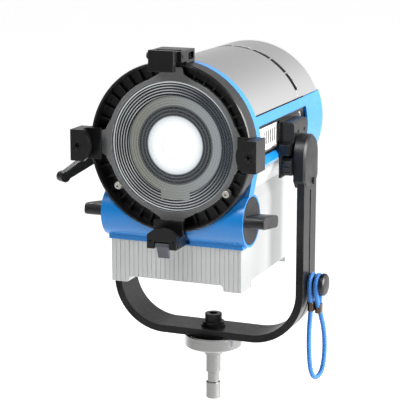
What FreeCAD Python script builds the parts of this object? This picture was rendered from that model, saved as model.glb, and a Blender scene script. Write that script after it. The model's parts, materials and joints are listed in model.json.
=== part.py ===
import FreeCAD, Part
import math
import os
import re
import Sketcher

# A fresnel spotlight on its yoke. Millimetres, +Z up, light leaves along -Y, viewer's right is +X.
# Origin: on the stand pin's axis, where the spigot's shoulder rests on a stand.

DIMENSIONS = {
    # optical axis and lens
    "lens_axis": 243,        # height of the lens axis
    "lens_face": -110,       # Y of the lens's front plane
    "lens_clear": 65,        # clear radius of the lens
    "lens_rim": 67,          # outer radius of the glass
    "ring_outer": 84,        # outer radius of the accessory ring
    "ring_front": -120,      # Y of the accessory ring's front edge
    "ring_back": -100,       # Y of the accessory ring's rear face
    "lip_front": -139.5,     # Y of the accessory brackets' front faces
    "holder_outer": 96.5,    # outer radius of the accessory brackets
    "holder_inner": 76,      # inner radius of their lips
    "slot_radius": 86,       # radius at the bottom of the accessory slot
    "holder_half": 15.5,     # half width of an accessory bracket
    "lip_round": 20.7,       # radius of its lip's inner edge
    # shells of the head
    "skin_radius": 81,       # outer radius of the round covers
    "skin": 2,               # sheet thickness of the covers
    "collar_radius": 83,     # blue collar behind the ring
    "shell_front": -86,      # Y where the covers begin
    "slit_front": 50,        # Y of the vent slit's front edge
    "slit_back": 58,
    "cover_back": 113,       # Y of the silver covers' rear end
    "wing_front": 66,        # Y where the blue rear cover's wings begin
    "head_back": 128,        # Y of the blue rear cover's rear face
    "seam_drop": 30,         # height of the silver-blue seam above the lens axis
    # base of the head
    "base_half": 69.5,       # half width of the lower housing
    "base_front": -104.5,
    "base_back": 96,
    "base_floor": 106,       # underside of the lower housing
    "foot_floor": 100,       # underside of its feet
    "ledge_low": 144,        # underside of the blue ledge
    "wall": 2.5,             # wall of the lower housing
    # focus drive
    "focus_y": -91.5,
    "focus_z": 171,
    "focus_barrel": 26,      # radius of the blue focus cylinder
    "focus_half": 75,        # its half length
    "pulley_radius": 9,      # pitch radius of the belt pulleys
    "idler_y": 50,
    "belt_x": 60,
    "rod_x": 34,
    "rod_z": 180,
    # slide at the sides of the head
    "recess_low": -12,       # lower edge of the slide's recess, from the lens axis
    "recess_high": 19,
    # pivots, carriage and yoke
    "pivot_z": 222,
    "pivot_radius": 8,
    "running": 0.05,         # radial clearance of a turning shaft
    "bracket_in": 77.8,      # X of the pivot bracket's inner face
    "bracket_out": 92,
    "cap_in": 94.6,          # X of the yoke cap's inner face
    "cap_out": 107,
    "yoke_half": 106,
    "yoke_plate": 8,
    "yoke_width": 40,
    "yoke_floor": 23,        # underside of the yoke
    "yoke_bend": 57,         # outer bend radius
    "cap_width": 45,
    "cap_floor": 191,
    # strap
    "strap_z": 88,
    "post_radius": 6.5,
    "cord_radius": 2.5,
}

document = FreeCAD.newDocument("fresnel_spotlight")
sheet = document.addObject("Spreadsheet::Sheet", "Dims")
for row, (alias, number) in enumerate(DIMENSIONS.items(), start=1):
    sheet.set(f"A{row}", alias)
    sheet.set(f"B{row}", str(number))
    sheet.setAlias(f"B{row}", alias)
document.recompute()

WORD = re.compile(r"[a-z][a-z_]+")
pieces = {}
serial = [0]


def bound(text):
    """Point the aliases in an expression at the sheet."""
    def point(match):
        word = match.group()
        return "Dims." + word if word in DIMENSIONS else word
    return WORD.sub(point, str(text))


def size(text):
    return float(sheet.evalExpression(bound(text)))


def bind(item, field, text):
    item.setExpression(field, bound(text))


def fresh(kind):
    serial[0] += 1
    return f"{kind}_{serial[0]}"


def move_to(item, at):
    for field, text in zip("xyz", at):
        bind(item, f"Placement.Base.{field}", text)
    return item


def box(x, y, z):
    """A block between pairs of X, Y and Z expressions."""
    item = document.addObject("Part::Box", fresh("block"))
    for field, (low, high) in zip(("Length", "Width", "Height"), (x, y, z)):
        bind(item, field, f"({high}) - ({low})")
    return move_to(item, (x[0], y[0], z[0]))


TURNS = {
    "x": FreeCAD.Rotation(FreeCAD.Vector(0, 1, 0), 90),
    "y": FreeCAD.Rotation(FreeCAD.Vector(1, 0, 0), -90),
    "z": FreeCAD.Rotation(),
}


def rod(axis, radius, start, length, at):
    """A cylinder along an axis. at gives the other two coordinates."""
    item = document.addObject("Part::Cylinder", fresh("rod"))
    bind(item, "Radius", radius)
    bind(item, "Height", length)
    item.Placement = FreeCAD.Placement(FreeCAD.Vector(), TURNS[axis])
    places = list(at)
    places.insert("xyz".index(axis), start)
    return move_to(item, places)


def join(*items):
    item = document.addObject("Part::MultiFuse", fresh("joined"))
    item.Shapes = list(items)
    return item


def take(base, *tools):
    item = document.addObject("Part::Cut", fresh("cut"))
    item.Base = base
    item.Tool = tools[0] if len(tools) == 1 else join(*tools)
    return item


def overlap(first, second):
    item = document.addObject("Part::Common", fresh("common"))
    item.Base = first
    item.Tool = second
    return item


def group(*items):
    item = document.addObject("Part::Compound", fresh("group"))
    item.Links = list(items)
    return item


def turned_about(base, axis, degrees, centre):
    """A copy of base's shape turned about an axis through centre."""
    item = document.addObject("Part::Compound", fresh("turned"))
    item.Links = [base]
    direction = {"x": (1, 0, 0), "y": (0, 1, 0), "z": (0, 0, 1)}[axis]
    middle = FreeCAD.Vector(*[size(text) for text in centre])
    turn = FreeCAD.Rotation(FreeCAD.Vector(*direction), degrees)
    item.Placement = FreeCAD.Placement(middle - turn.multVec(middle), turn)
    return item


def mirrored(base, plane="x"):
    item = document.addObject("Part::Mirroring", fresh("mirror"))
    item.Source = base
    item.Normal = FreeCAD.Vector(*[1 if name == plane else 0 for name in "xyz"])
    return item


def draw(body, role, outlines, circles, offset):
    """A sketch on one of the body's own planes.

    An outline is a list of corners (x, y) or (x, y, radius): a radius makes the edge from that corner
    to the next an arc, positive where it turns left. Every corner is tied to the sheet.
    """
    sketch = body.newObject("Sketcher::SketchObject", fresh("sketch"))
    plane = [item for item in body.Origin.OriginFeatures if item.Role == role][0]
    sketch.AttachmentSupport = [(plane, "")]
    sketch.MapMode = "FlatFace"
    bind(sketch, "AttachmentOffset.Base.z", offset)
    for outline in outlines:
        corners = [FreeCAD.Vector(size(corner[0]), size(corner[1]), 0) for corner in outline]
        first = sketch.GeometryCount
        count = len(outline)
        for index, corner in enumerate(outline):
            start, end = corners[index], corners[(index + 1) % count]
            if len(corner) == 2:
                sketch.addGeometry(Part.LineSegment(start, end), False)
                continue
            radius = size(corner[2])
            chord = end - start
            reach = math.sqrt(max(radius**2 - chord.Length**2 / 4, 0))
            side = FreeCAD.Vector(-chord.y, chord.x, 0).normalize() * math.copysign(reach, radius)
            centre = (start + end) / 2 + side
            angles = [math.atan2(point.y - centre.y, point.x - centre.x) for point in (start, end)]
            if radius < 0:
                angles.reverse()
            circle = Part.Circle(centre, FreeCAD.Vector(0, 0, 1), abs(radius))
            sketch.addGeometry(Part.ArcOfCircle(circle, *angles), False)
        for index, corner in enumerate(outline):
            edge = first + index
            following = first + (index + 1) % count
            backward = len(corner) == 3 and size(corner[2]) < 0
            next_corner = outline[(index + 1) % count]
            next_backward = len(next_corner) == 3 and size(next_corner[2]) < 0
            sketch.addConstraint(Sketcher.Constraint(
                "Coincident", edge, 1 if backward else 2, following, 2 if next_backward else 1))
            end = 2 if backward else 1
            for kind, text, number in (("DistanceX", corner[0], corners[index].x),
                                       ("DistanceY", corner[1], corners[index].y)):
                place = sketch.addConstraint(Sketcher.Constraint(kind, -1, 1, edge, end, number))
                bind(sketch, f"Constraints[{place}]", text)
            if len(corner) == 3:
                place = sketch.addConstraint(Sketcher.Constraint("Radius", edge, abs(size(corner[2]))))
                bind(sketch, f"Constraints[{place}]", f"abs({corner[2]})")
    for x, y, radius in circles:
        circle = Part.Circle(FreeCAD.Vector(size(x), size(y), 0), FreeCAD.Vector(0, 0, 1), size(radius))
        edge = sketch.addGeometry(circle, False)
        for kind, text in (("DistanceX", x), ("DistanceY", y)):
            place = sketch.addConstraint(Sketcher.Constraint(kind, -1, 1, edge, 3, size(text)))
            bind(sketch, f"Constraints[{place}]", text)
        place = sketch.addConstraint(Sketcher.Constraint("Radius", edge, size(radius)))
        bind(sketch, f"Constraints[{place}]", radius)
    return sketch


def prism(axis, outline, start, end, circles=(), holes=()):
    """A padded outline between two places on an axis.

    Along x the outline is in (y, z), along y in (x, z), along z in (x, y).
    """
    body = document.addObject("PartDesign::Body", fresh("body"))
    role = {"x": "YZ_Plane", "y": "XZ_Plane", "z": "XY_Plane"}[axis]
    offset = f"-({end})" if axis == "y" else start
    outlines = ([outline] if outline else []) + list(holes)
    sketch = draw(body, role, outlines, circles, offset)
    pad = body.newObject("PartDesign::Pad", fresh("pad"))
    pad.Profile = sketch
    bind(pad, "Length", f"({end}) - ({start})")
    body.Tip = pad
    return body


def turning(axis, outline, at=("0", "0", "0")):
    """A solid of revolution about an axis through at; the outline is in (radius, place on the axis)."""
    body = document.addObject("PartDesign::Body", fresh("body"))
    flat = axis == "x"
    if flat:
        outline = [(corner[1], corner[0]) + tuple(f"-({text})" for text in corner[2:])
                   for corner in outline]
    sketch = draw(body, "XZ_Plane" if axis == "z" else "XY_Plane", [outline], (), "0")
    wheel = body.newObject("PartDesign::Revolution", fresh("turning"))
    wheel.Profile = sketch
    wheel.ReferenceAxis = (sketch, ["H_Axis" if flat else "V_Axis"])
    wheel.Angle = 360
    body.Tip = wheel
    return move_to(body, at)


def keep(label, item):
    item.Label = label
    pieces[label] = item
    return item


def polar(radius, degrees, shift="lens_axis"):
    """Expressions for the point at an angle on a circle about the lens axis, in (x, z)."""
    return f"({radius}) * cos({degrees} deg)", f"{shift} + ({radius}) * sin({degrees} deg)"


LENS = ("0", "0", "lens_axis")
SCREW_TURNS = (-36.5, 216.5)
SCREW_CIRCLE = "lens_rim + 4"
LUG = ("ring_back - 13.7", "ring_back - 7")


# ---- light path: ring, lens and retainer -------------------------------------------------------

def accessory_ring():
    """Ring with an open channel round the lens, forty radial ribs in it, and four lugs behind."""
    channel_floor = "ring_front + 14"
    ring = turning("y", [
        ("lens_rim + 0.5", "ring_back"), ("ring_outer", "ring_back"), ("ring_outer", "ring_front + 1.5"),
        ("ring_outer - 1", "ring_front"), ("ring_outer - 2.5", "ring_front"),
        ("ring_outer - 2.5", channel_floor), ("lens_rim + 3", channel_floor),
        ("lens_rim + 3", "lens_face"), ("lens_rim + 0.5", "lens_face")])
    rib = draw(ring, "XZ_Plane", [[
        ("lens_rim + 2.5", "-0.9"), ("ring_outer - 2", "-0.9"),
        ("ring_outer - 2", "0.9"), ("lens_rim + 2.5", "0.9")]], (), f"-({channel_floor})")
    document.recompute()
    pad = ring.newObject("PartDesign::Pad", "rib")
    pad.Profile = rib
    bind(pad, "Length", f"{channel_floor} - lens_face - 0.3")
    ring.Tip = pad
    document.recompute()
    ribs = ring.newObject("PartDesign::PolarPattern", "ribs")
    ribs.Originals = [pad]
    ribs.Axis = ([item for item in ring.Origin.OriginFeatures if item.Role == "Y_Axis"][0], [""])
    ribs.Angle = 360
    ribs.Occurrences = 40
    ring.Tip = ribs
    move_to(ring, LENS)
    lugs = []
    for degrees in (0, 90, 180, 270):
        lug = box(("ring_outer - 2", "ring_outer + 9"), LUG, ("-12", "12"))
        lugs.append(turned_about(lug, "y", degrees, ("0", "0", "0")))
    lugs = move_to(join(*lugs), LENS)
    holes = [rod("y", "2.6", "ring_back - 14.7", "6.5", polar("ring_outer + 5", degrees))
             for degrees in (0, 180, 270)]
    tab_space = overlap(box(("lens_rim + 3", "ring_outer"), ("ring_front - 1", channel_floor),
                            ("-20", "20")),
                        rod("y", "ring_outer - 2.6", "ring_front - 1", "20", ("0", "0")))
    spaces = [turned_about(tab_space, "y", degrees, ("0", "0", "0")) for degrees in (0, 90, 180, 270)]
    bosses = [rod("y", "4", "lens_face", f"{channel_floor} - lens_face + 1", polar(SCREW_CIRCLE, degrees))
              for degrees in SCREW_TURNS]
    screw_holes = [rod("y", "1.6", "lens_face - 1", "3", polar(SCREW_CIRCLE, degrees))
                   for degrees in SCREW_TURNS]
    open_ring = take(ring, move_to(join(*spaces), LENS))
    return take(join(open_ring, lugs, *bosses), *holes, *screw_holes)


def lens_retainer():
    """Thin plate round the lens with a tapered tab towards each accessory bracket."""
    plate = turning("y", [
        ("lens_clear - 0.5", "lens_face - 2.5"), ("lens_rim + 1.5", "lens_face - 2.5"),
        ("lens_rim + 2", "lens_face - 2"), ("lens_rim + 2", "lens_face"),
        ("lens_clear - 0.5", "lens_face")], LENS)
    tabs = []
    for degrees in (0, 90, 180, 270):
        tab = prism("y", [("lens_clear + 0.5", "-23"), ("lens_rim + 4", "-13"), ("lens_rim + 11", "-10.5"),
                          ("lens_rim + 11", "10.5"), ("lens_rim + 4", "13"), ("lens_clear + 0.5", "23")],
                    "lens_face - 2.5", "lens_face")
        tabs.append(turned_about(tab, "y", degrees, ("0", "0", "0")))
    tabs = move_to(join(*tabs), LENS)
    places = [polar(SCREW_CIRCLE, degrees) for degrees in SCREW_TURNS]
    ears = [rod("y", "4.4", "lens_face - 2.5", "2.5", place) for place in places]
    holes = [rod("y", "1.6", "lens_face - 4", "6", place) for place in places]
    light = rod("y", "lens_clear - 0.5", "lens_face - 4", "8", ("0", "lens_axis"))
    return take(join(plate, tabs, *ears), light, *holes)


def fresnel_lens():
    """Plano disc whose front is cut into ten stepped rings round a low dome."""
    rings, step, depth = 10, "(lens_clear - 20) / 10", "2.4"
    outline = [("0", "lens_face + 9"), ("lens_rim", "lens_face + 9"), ("lens_rim", "lens_face + 0.6")]
    for ring in range(rings, 0, -1):
        outer = f"20 + {ring} * {step}"
        inner = f"20 + {ring - 1} * {step}"
        outline.append((outer, "lens_face + 0.6"))
        outline.append((f"{inner} + 0.3", f"lens_face + 0.6 + {depth} * {0.25 + 0.05 * ring:.2f}"))
    outline += [("20", "lens_face + 1"), ("10", "lens_face + 0.3"), ("0", "lens_face")]
    return turning("y", outline, LENS)


def screw(axis, at, head_radius, head, shank_radius, shank, socket=2.0):
    """Socket screw along an axis: its head starts at `at` and its shank goes the positive way."""
    end = f"{head + shank}"
    body = turning("z", [
        ("0", "0"), (f"{head_radius}", "0"), (f"{head_radius}", f"{head}"),
        (f"{shank_radius}", f"{head}"), (f"{shank_radius}", end), ("0", end)])
    pocket = rod("z", f"{socket}", "-1", f"{1 + 0.6 * head}", ("0", "0"))
    bolt = take(body, pocket)
    turn = {"x": TURNS["x"], "-x": FreeCAD.Rotation(FreeCAD.Vector(0, 1, 0), -90), "y": TURNS["y"],
            "-y": FreeCAD.Rotation(FreeCAD.Vector(1, 0, 0), 90), "z": FreeCAD.Rotation(),
            "-z": FreeCAD.Rotation(FreeCAD.Vector(1, 0, 0), 180)}[axis]
    bolt.Placement = FreeCAD.Placement(FreeCAD.Vector(), turn)
    return move_to(bolt, at)


def accessory_bracket(degrees, notched=False):
    """C-shaped holder: a front lip, a wall outside the accessory slot, and a pad on the ring.

    The bottom one is notched for its lock tab, and has two smaller screws beside the notch.
    """
    screw_radius = "ring_outer + 5"
    shape = prism("z", [
        ("holder_inner", "lip_front"), ("holder_outer", "lip_front"), ("holder_outer", "ring_back - 14"),
        ("ring_outer + 0.4", "ring_back - 14"), ("ring_outer + 0.4", "ring_front"),
        ("lens_rim + 4.5", "ring_front"), ("lens_rim + 4.5", "ring_front - 3"),
        ("slot_radius", "ring_front - 3"), ("slot_radius", "lip_front + 6"),
        ("holder_inner", "lip_front + 6")], "-holder_half", "holder_half")
    lip_end = box(("holder_inner - 1", "holder_inner + 8"), ("lip_front - 1", "lip_front + 6.5"),
                  ("-holder_half - 1", "holder_half + 1"))
    cuts = [take(lip_end, rod("y", "lip_round", "lip_front - 2", "10", ("holder_inner + lip_round", "0")))]
    if notched:
        cuts.append(box((screw_radius, "holder_outer + 1"), ("lip_front - 1", "lip_front + 12"),
                        ("-8", "8")))
        cuts.append(rod("z", "1.55", "-20", "40", ("holder_outer - 3.3", "lip_front + 3.6")))
        for side in (-12, 12):
            cuts.append(rod("y", "1.7", "lip_front - 1", "24", (screw_radius, f"{side}")))
    else:
        cuts.append(rod("y", "2.7", "lip_front - 1", "40", (screw_radius, "0")))
        cuts.append(rod("y", "4.6", "lip_front - 1", "6.2", (screw_radius, "0")))
    return turned_about(move_to(take(shape, *cuts), LENS), "y", -degrees, LENS)


def latch_base():
    """Saddle on top of the ring with two knuckles for the top latch."""
    body = box(("-17", "17"), ("ring_front + 4", "ring_back + 5"), ("lens_axis + 80", "lens_axis + 95"))
    knuckles = [box(pair, ("ring_front - 8.5", "ring_front + 4"),
                    ("lens_axis + ring_outer + 0.4", "lens_axis + 95"))
                for pair in (("-17", "-13.4"), ("13.4", "17"))]
    pockets = [rounded_plate(pair, ("ring_back - 11.5", "ring_back + 2.5"),
                             ("lens_axis + 85.5", "lens_axis + 92.5"), "2.5")
               for pair in (("-18", "-14"), ("14", "18"))]
    ring_space = rod("y", "ring_outer + 0.3", "ring_front - 10", "12.5 - ring_front + ring_back",
                     ("0", "lens_axis"))
    lug_space = box(("-12.3", "12.3"), ("ring_back - 14", "ring_back - 6.7"),
                    ("lens_axis + 70", "lens_axis + 93.3"))
    collar_space = rod("y", "collar_radius + 0.3", "ring_back", "10", ("0", "lens_axis"))
    pin_hole = rod("x", "2.05", "-20", "40", LATCH_PIN)
    return take(join(body, *knuckles), ring_space, lug_space, collar_space, pin_hole, *pockets)


LATCH_PIN = ("ring_front - 4", "lens_axis + 89.5")


def top_latch():
    """Sprung flap that closes the accessory slot at the top; it turns on the latch pin."""
    lip = box(("-13", "13"), ("lip_front", "lip_front + 6"),
              ("lens_axis + holder_inner", "lens_axis + holder_outer"))
    wall = box(("-13", "13"), ("lip_front + 6", "ring_front - 4"),
               ("lens_axis + slot_radius", "lens_axis + 95"))
    eye = rod("x", "4.4", "-13", "26", LATCH_PIN)
    return take(join(lip, wall, eye), rod("x", "2.05", "-20", "40", LATCH_PIN))


def latch_pin():
    stem = rod("x", "2", "-17.2", "34.6", LATCH_PIN)
    head = rod("x", "3.4", "-20", "2.8", LATCH_PIN)
    return join(stem, head)


TAB_PIN = ("lip_front + 3.6", "lens_axis - holder_outer + 3.3")


def lock_tab():
    """Tapered tab in the bottom bracket's notch, hung on its pin and leaning back."""
    low = "lens_axis - holder_outer - 10"
    blade = prism("x", [
        ("lip_front + 1", "lens_axis - holder_outer + 2"), ("lip_front + 5.4", low),
        ("lip_front + 8", f"{low} + 1.2"), ("lip_front + 6", "lens_axis - holder_outer + 4")],
        "-5.8", "5.8")
    eye = rod("x", "3", "-7.2", "14.4", TAB_PIN)
    return take(join(blade, eye), rod("x", "1.55", "-20", "40", TAB_PIN))


# ---- blue casting, covers and frames ----------------------------------------------------------

def front_casting():
    """Collar behind the ring, focus cylinder under it, a neck between the two, and the ledge."""
    collar = turning("y", [
        ("lens_clear + 1", "ring_back"), ("collar_radius - 1", "ring_back"),
        ("collar_radius", "ring_back + 1"), ("collar_radius", "shell_front - 1"),
        ("collar_radius - 1", "shell_front"),
        ("lens_clear + 1", "shell_front")], LENS)
    barrel = rod("x", "focus_barrel", "-focus_half", "2 * focus_half", ("focus_y", "focus_z"))
    neck = prism("y", [
        ("-focus_half", "focus_z"), ("focus_half", "focus_z"), ("focus_half", "focus_z + 24"),
        ("collar_radius * cos(17 deg)", "lens_axis - 25"),
        ("-collar_radius * cos(17 deg)", "lens_axis - 25"),
        ("-focus_half", "focus_z + 24")], "ring_back", "shell_front")
    ledge = box(("-base_half - 2", "base_half + 2"), ("base_front - 1.5", "shell_front"),
                ("ledge_low", "ledge_low + 8"))
    ring_space = rod("y", "ring_outer + 0.3", "ring_front - 5", "ring_back - ring_front + 5",
                     ("0", "lens_axis"))
    pad_space = box(("-holder_half - 0.4", "holder_half + 0.4"), ("lip_front", "ring_back"),
                    ("lens_axis - holder_outer - 1", "lens_axis"))
    light = rod("y", "lens_clear + 1", "ring_front", "80", ("0", "lens_axis"))
    hollow_right = rod("x", "focus_barrel - 2", "43", "focus_half", ("focus_y", "focus_z"))
    hollow_left = rod("x", "focus_barrel - 2", "-focus_half - 43", "focus_half", ("focus_y", "focus_z"))
    bearing = rod("x", "4 + running", "-60", "120", ("focus_y", "focus_z"))
    belt_window = box(("belt_x - 7", "belt_x + 7"), ("focus_y", "focus_y + 30"),
                      ("focus_z - 15", "focus_z + 15"))
    rod_holes = [rod("y", "3", "shell_front - 8", "10", (f"{side} * rod_x", "rod_z")) for side in (-1, 1)]
    base_space = box(("-base_half", "base_half"), ("shell_front", "shell_front + 40"),
                     ("focus_z - 40", "focus_z + 40"))
    solid = join(collar, barrel, neck, ledge)
    return take(solid, ring_space, pad_space, light, hollow_right, hollow_left, bearing, belt_window,
                base_space, *rod_holes)


SEAM = 21.7     # angle of the silver-blue seam above the horizontal, seen from the lens axis


def arch(outer, thickness, start, end, low=SEAM):
    """Round cover over the lens axis between two places on Y, down to an angle on both sides."""
    inner = f"{outer} - {thickness}"
    corners = [polar(outer, low), polar(outer, 90), polar(outer, 180 - low),
               polar(inner, 180 - low), polar(inner, 90), polar(inner, low)]
    outline = [corners[0] + (outer,), corners[1] + (outer,), corners[2],
               corners[3] + (f"-({inner})",), corners[4] + (f"-({inner})",), corners[5]]
    return prism("y", outline, start, end)


def rear_top_cover():
    """Rear silver cover: its front edge is notched for the vent slit and its end is closed."""
    shell = arch("skin_radius", "skin", "slit_front + 0.4", "cover_back")
    edge, low = "skin_radius - 1", 23.6
    end_wall = prism("y", [polar(edge, low) + (edge,), polar(edge, 90) + (edge,), polar(edge, 180 - low)],
                     "cover_back - 2", "cover_back")
    notches = []
    count, span, web = 8, 126.0, 1.0
    inner, outer = "skin_radius - 4", "skin_radius + 2"
    for index in range(count):
        first = 27 + index * span / count + web / 2
        last = 27 + (index + 1) * span / count - web / 2
        notches.append(prism("y", [
            polar(inner, first), polar(outer, first) + (outer,), polar(outer, last),
            polar(inner, last) + (f"-({inner})",)], "slit_front", "slit_back"))
    slots = [box((f"{x} - 2", f"{x} + 2"), ("cover_back - 4", "cover_back + 2"),
                 ("lens_axis + 44", f"lens_axis + {72 - abs(x) * 0.4}")) for x in range(-40, 41, 10)]
    return take(join(shell, end_wall), *notches, *slots)


def vent_baffle():
    return arch("skin_radius - skin - 0.4", "1.5", "slit_front - 6", "slit_back + 6", 25)


def side_frame():
    """Blue right-hand frame: a strip under the grooved seam, the slide's recess, and a short lower lip."""
    strip = prism("y", [
        polar("skin_radius", 14) + ("skin_radius",), polar("skin_radius", SEAM - 0.6),
        polar("skin_radius - 1.2", SEAM - 0.6), polar("skin_radius - 1.2", SEAM),
        polar("skin_radius - 2.5", SEAM), ("71", "lens_axis + 24"),
        ("71", "lens_axis + recess_high + 0.5")], "shell_front", "wing_front")
    floor = box(("71", "73"), ("shell_front", "wing_front"),
                ("lens_axis - 23", "lens_axis + recess_high + 1"))
    lip = prism("y", [
        ("71", "lens_axis + recess_low"), ("78", "lens_axis + recess_low"), ("81.6", "lens_axis - 15.5"),
        ("81.6", "lens_axis - 19"), polar("skin_radius", -17.2), ("71", "lens_axis - 24")],
        "shell_front", "-16")
    return join(strip, floor, lip)


def rounded_plate(x, y, z, corner):
    """Outline in (y, z) of a rectangle with round corners, padded along X."""
    (y0, y1), (z0, z1) = y, z
    outline = [
        (f"{y0} + {corner}", z0), (f"{y1} - {corner}", z0, corner), (y1, f"{z0} + {corner}"),
        (y1, f"{z1} - {corner}", corner), (f"{y1} - {corner}", z1), (f"{y0} + {corner}", z1, corner),
        (y0, f"{z1} - {corner}"), (y0, f"{z0} + {corner}", corner)]
    return prism("x", outline, *x)


def side_rail():
    """Black frame of the slide in the recess."""
    outer = box(("73", "77.4"), ("shell_front + 2", "wing_front - 3"),
                ("lens_axis + recess_low", "lens_axis + recess_high"))
    window = rounded_plate(("72", "79"), ("shell_front + 5", "wing_front - 6"),
                           ("lens_axis + recess_low + 3", "lens_axis + recess_high - 3"), "5")
    return take(outer, window)


def side_plate():
    return rounded_plate(("73", "74.6"), ("shell_front + 5.2", "wing_front - 6.2"),
                         ("lens_axis + recess_low + 3.2", "lens_axis + recess_high - 3.2"), "4.8")


def housing_profile(inset):
    """Half round flanks above a box: the lower housing's section in (x, z), drawn inwards by inset."""
    radius, half = f"skin_radius - {inset}", f"base_half - {inset}"
    shoulder, floor = f"lens_axis - 56 - {inset}", f"base_floor + {inset}"
    low = -33.7
    right = [(half, floor), (half, shoulder), polar(radius, low) + (radius,), polar(radius, -17.3)]
    left = [polar(radius, 180 + 17.3) + (radius,), polar(radius, 180 - low), (f"-({half})", shoulder),
            (f"-({half})", floor)]
    return right + left


def lower_housing():
    """Silver tray under the head: round flanks, straight sides, a ribbed front and four feet."""
    shell = prism("y", housing_profile("0"), "shell_front", "base_back")
    nose = box(("-base_half", "base_half"), ("base_front", "shell_front"),
               ("base_floor", "ledge_low - 0.2"))
    inside = prism("y", housing_profile("wall"), "shell_front - 5", "base_back + 5")
    nose_inside = box(("-base_half + wall", "base_half - wall"), ("base_front + wall", "shell_front + 1"),
                      ("base_floor + wall", "ledge_low + 5"))
    feet = []
    for near, far in (("base_front", "base_front + 30"), ("30", "64")):
        foot = prism("y", [
            ("base_half - 16", "foot_floor"), ("base_half", "foot_floor"), ("base_half", "base_floor + 1"),
            ("base_half - 22", "base_floor + 1"), ("base_half - 22", "base_floor", "-3"),
            ("base_half - 19", "foot_floor + 3", "3")], near, far)
        feet += [foot, mirrored(foot)]
    grooves = []
    for index in range(28):
        place, half, depth = -64.5 + 4.85 * index, *((0.5, 0.8) if index % 2 else (0.3, 0.5))
        grooves.append(box((f"{place} - {half}", f"{place} + {half}"),
                           ("base_front - 1", f"base_front + {depth}"), ("foot_floor - 1", "ledge_low")))
    inlets = [rod("z", "2", "base_floor - 1", "5", (f"{x}", f"{y}"))
              for x in (-40, -20, 0, 20, 40) for y in (-40, 0, 40)]
    return take(join(shell, nose, *feet), inside, nose_inside, *grooves, *inlets)


def rear_panel():
    """Connector plate that closes the back of the lower housing."""
    plate = box(("-base_half + wall + 0.2", "base_half - wall - 0.2"), ("base_back - 4", "base_back - 1.5"),
                ("base_floor + wall + 0.2", "lens_axis - 60"))
    holes = [rod("y", socket[1], "base_back - 6", "8", (socket[0], SOCKET_Z)) for socket in SOCKETS]
    return take(plate, *holes)


SOCKET_Z = "base_floor + 32"
SOCKETS = (("-48", "13"), ("-16", "13"), ("12", "10"), ("38", "10"))


def socket_shell(x, radius, pins):
    """Round panel socket with its cavity open to the rear and pins inside it."""
    rim = rod("y", f"{radius} + 1.5", "base_back - 1.5", "3", (x, SOCKET_Z))
    neck = rod("y", f"{radius} - 0.1", "base_back - 16", "16", (x, SOCKET_Z))
    cavity = rod("y", f"{radius} - 2", "base_back - 12", "20", (x, SOCKET_Z))
    contacts = []
    for index in range(pins):
        turn = math.radians(90 + 360 * index / pins)
        reach = 0.45 * size(radius)
        place = f"{x} + {reach * math.cos(turn):.3f}", f"{SOCKET_Z} + {reach * math.sin(turn):.3f}"
        contacts.append(rod("y", "0.9", "base_back - 12.5", "9", place))
    return join(take(join(rim, neck), cavity), *contacts)


def rear_cover():
    """Blue rear end below the seam, with wings along both sides and a round rear edge."""
    def rounded(radius, back, bend, start):
        return turning("y", [("0", start), (radius, start), (radius, f"{back} - {bend}", bend),
                             (f"{radius} - {bend}", back), ("0", back)], LENS)
    outer = overlap(rounded("skin_radius", "head_back", "10", "wing_front"),
                    box(("-90", "90"), ("wing_front", "head_back"),
                        ("lens_axis - 45", "lens_axis + seam_drop - 0.9")))
    inner = rounded("skin_radius - 2.5", "head_back - 2.5", "8", "wing_front - 5")
    keep_roof = box(("-90", "90"), ("cover_back + 0.2", "head_back"),
                    ("lens_axis + seam_drop - 3.4", "lens_axis + seam_drop + 50"))
    keep_floor = box(("-90", "90"), ("base_back + 0.2", "head_back"),
                     ("lens_axis - 90", "lens_axis - 42.5"))
    cavity = take(inner, keep_roof, keep_floor)
    base_space = box(("-90", "90"), ("wing_front - 1", "base_back + 0.1"),
                     ("lens_axis - 60", "lens_axis - 23.7"))
    slots = [box((f"{side} * 62 - 3", f"{side} * 62 + 3"), ("head_back - 12", "head_back + 1"),
                 (f"lens_axis + {z} - 1.5", f"lens_axis + {z} + 1.5"))
             for side in (-1, 1) for z in range(-30, 22, 7)]
    shafts = [rod("y", "3.2", "head_back - 8", "10", (x, "lens_axis + 6")) for x in ENCODERS]
    buttons = [rod("y", "3.3", "head_back - 3", "4", (f"{x}", "lens_axis - 16")) for x in BUTTONS]
    return take(outer, cavity, base_space, *slots, *shafts, *buttons)


# ---- controls on the rear ----------------------------------------------------------------------

ENCODERS = ("-34", "34")
BUTTONS = (-12, 0, 12)


def control_panel():
    plate = box(("-50", "50"), ("head_back", "head_back + 2"), ("lens_axis - 30", "lens_axis + 26"))
    screen = box(("-20.2", "20.2"), ("head_back - 1", "head_back + 3"),
                 ("lens_axis - 4.2", "lens_axis + 20.2"))
    shafts = [rod("y", "3.2", "head_back - 8", "12", (x, "lens_axis + 6")) for x in ENCODERS]
    buttons = [rod("y", "3.3", "head_back - 1", "5", (f"{x}", "lens_axis - 16")) for x in BUTTONS]
    return take(plate, screen, *shafts, *buttons)


def display_window():
    return box(("-20", "20"), ("head_back", "head_back + 1.6"), ("lens_axis - 4", "lens_axis + 20"))


def encoder(x):
    """Knurled knob on a short shaft."""
    knob = rod("y", "10", "head_back + 3", "12", (x, "lens_axis + 6"))
    notches = [rod("y", "0.9", "head_back + 4", "14",
                   (f"{x} + 10.3 * cos({turn} deg)", f"lens_axis + 6 + 10.3 * sin({turn} deg)"))
               for turn in range(0, 360, 15)]
    shaft = rod("y", "3.1", "head_back - 6", "10", (x, "lens_axis + 6"))
    return join(take(knob, *notches), shaft)


def push_button(x):
    return rod("y", "3", "head_back + 0.1", "4.4", (f"{x}", "lens_axis - 16"))


# ---- focus drive and light engine -------------------------------------------------------------

SHAFT = ("focus_y", "focus_z")


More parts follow.
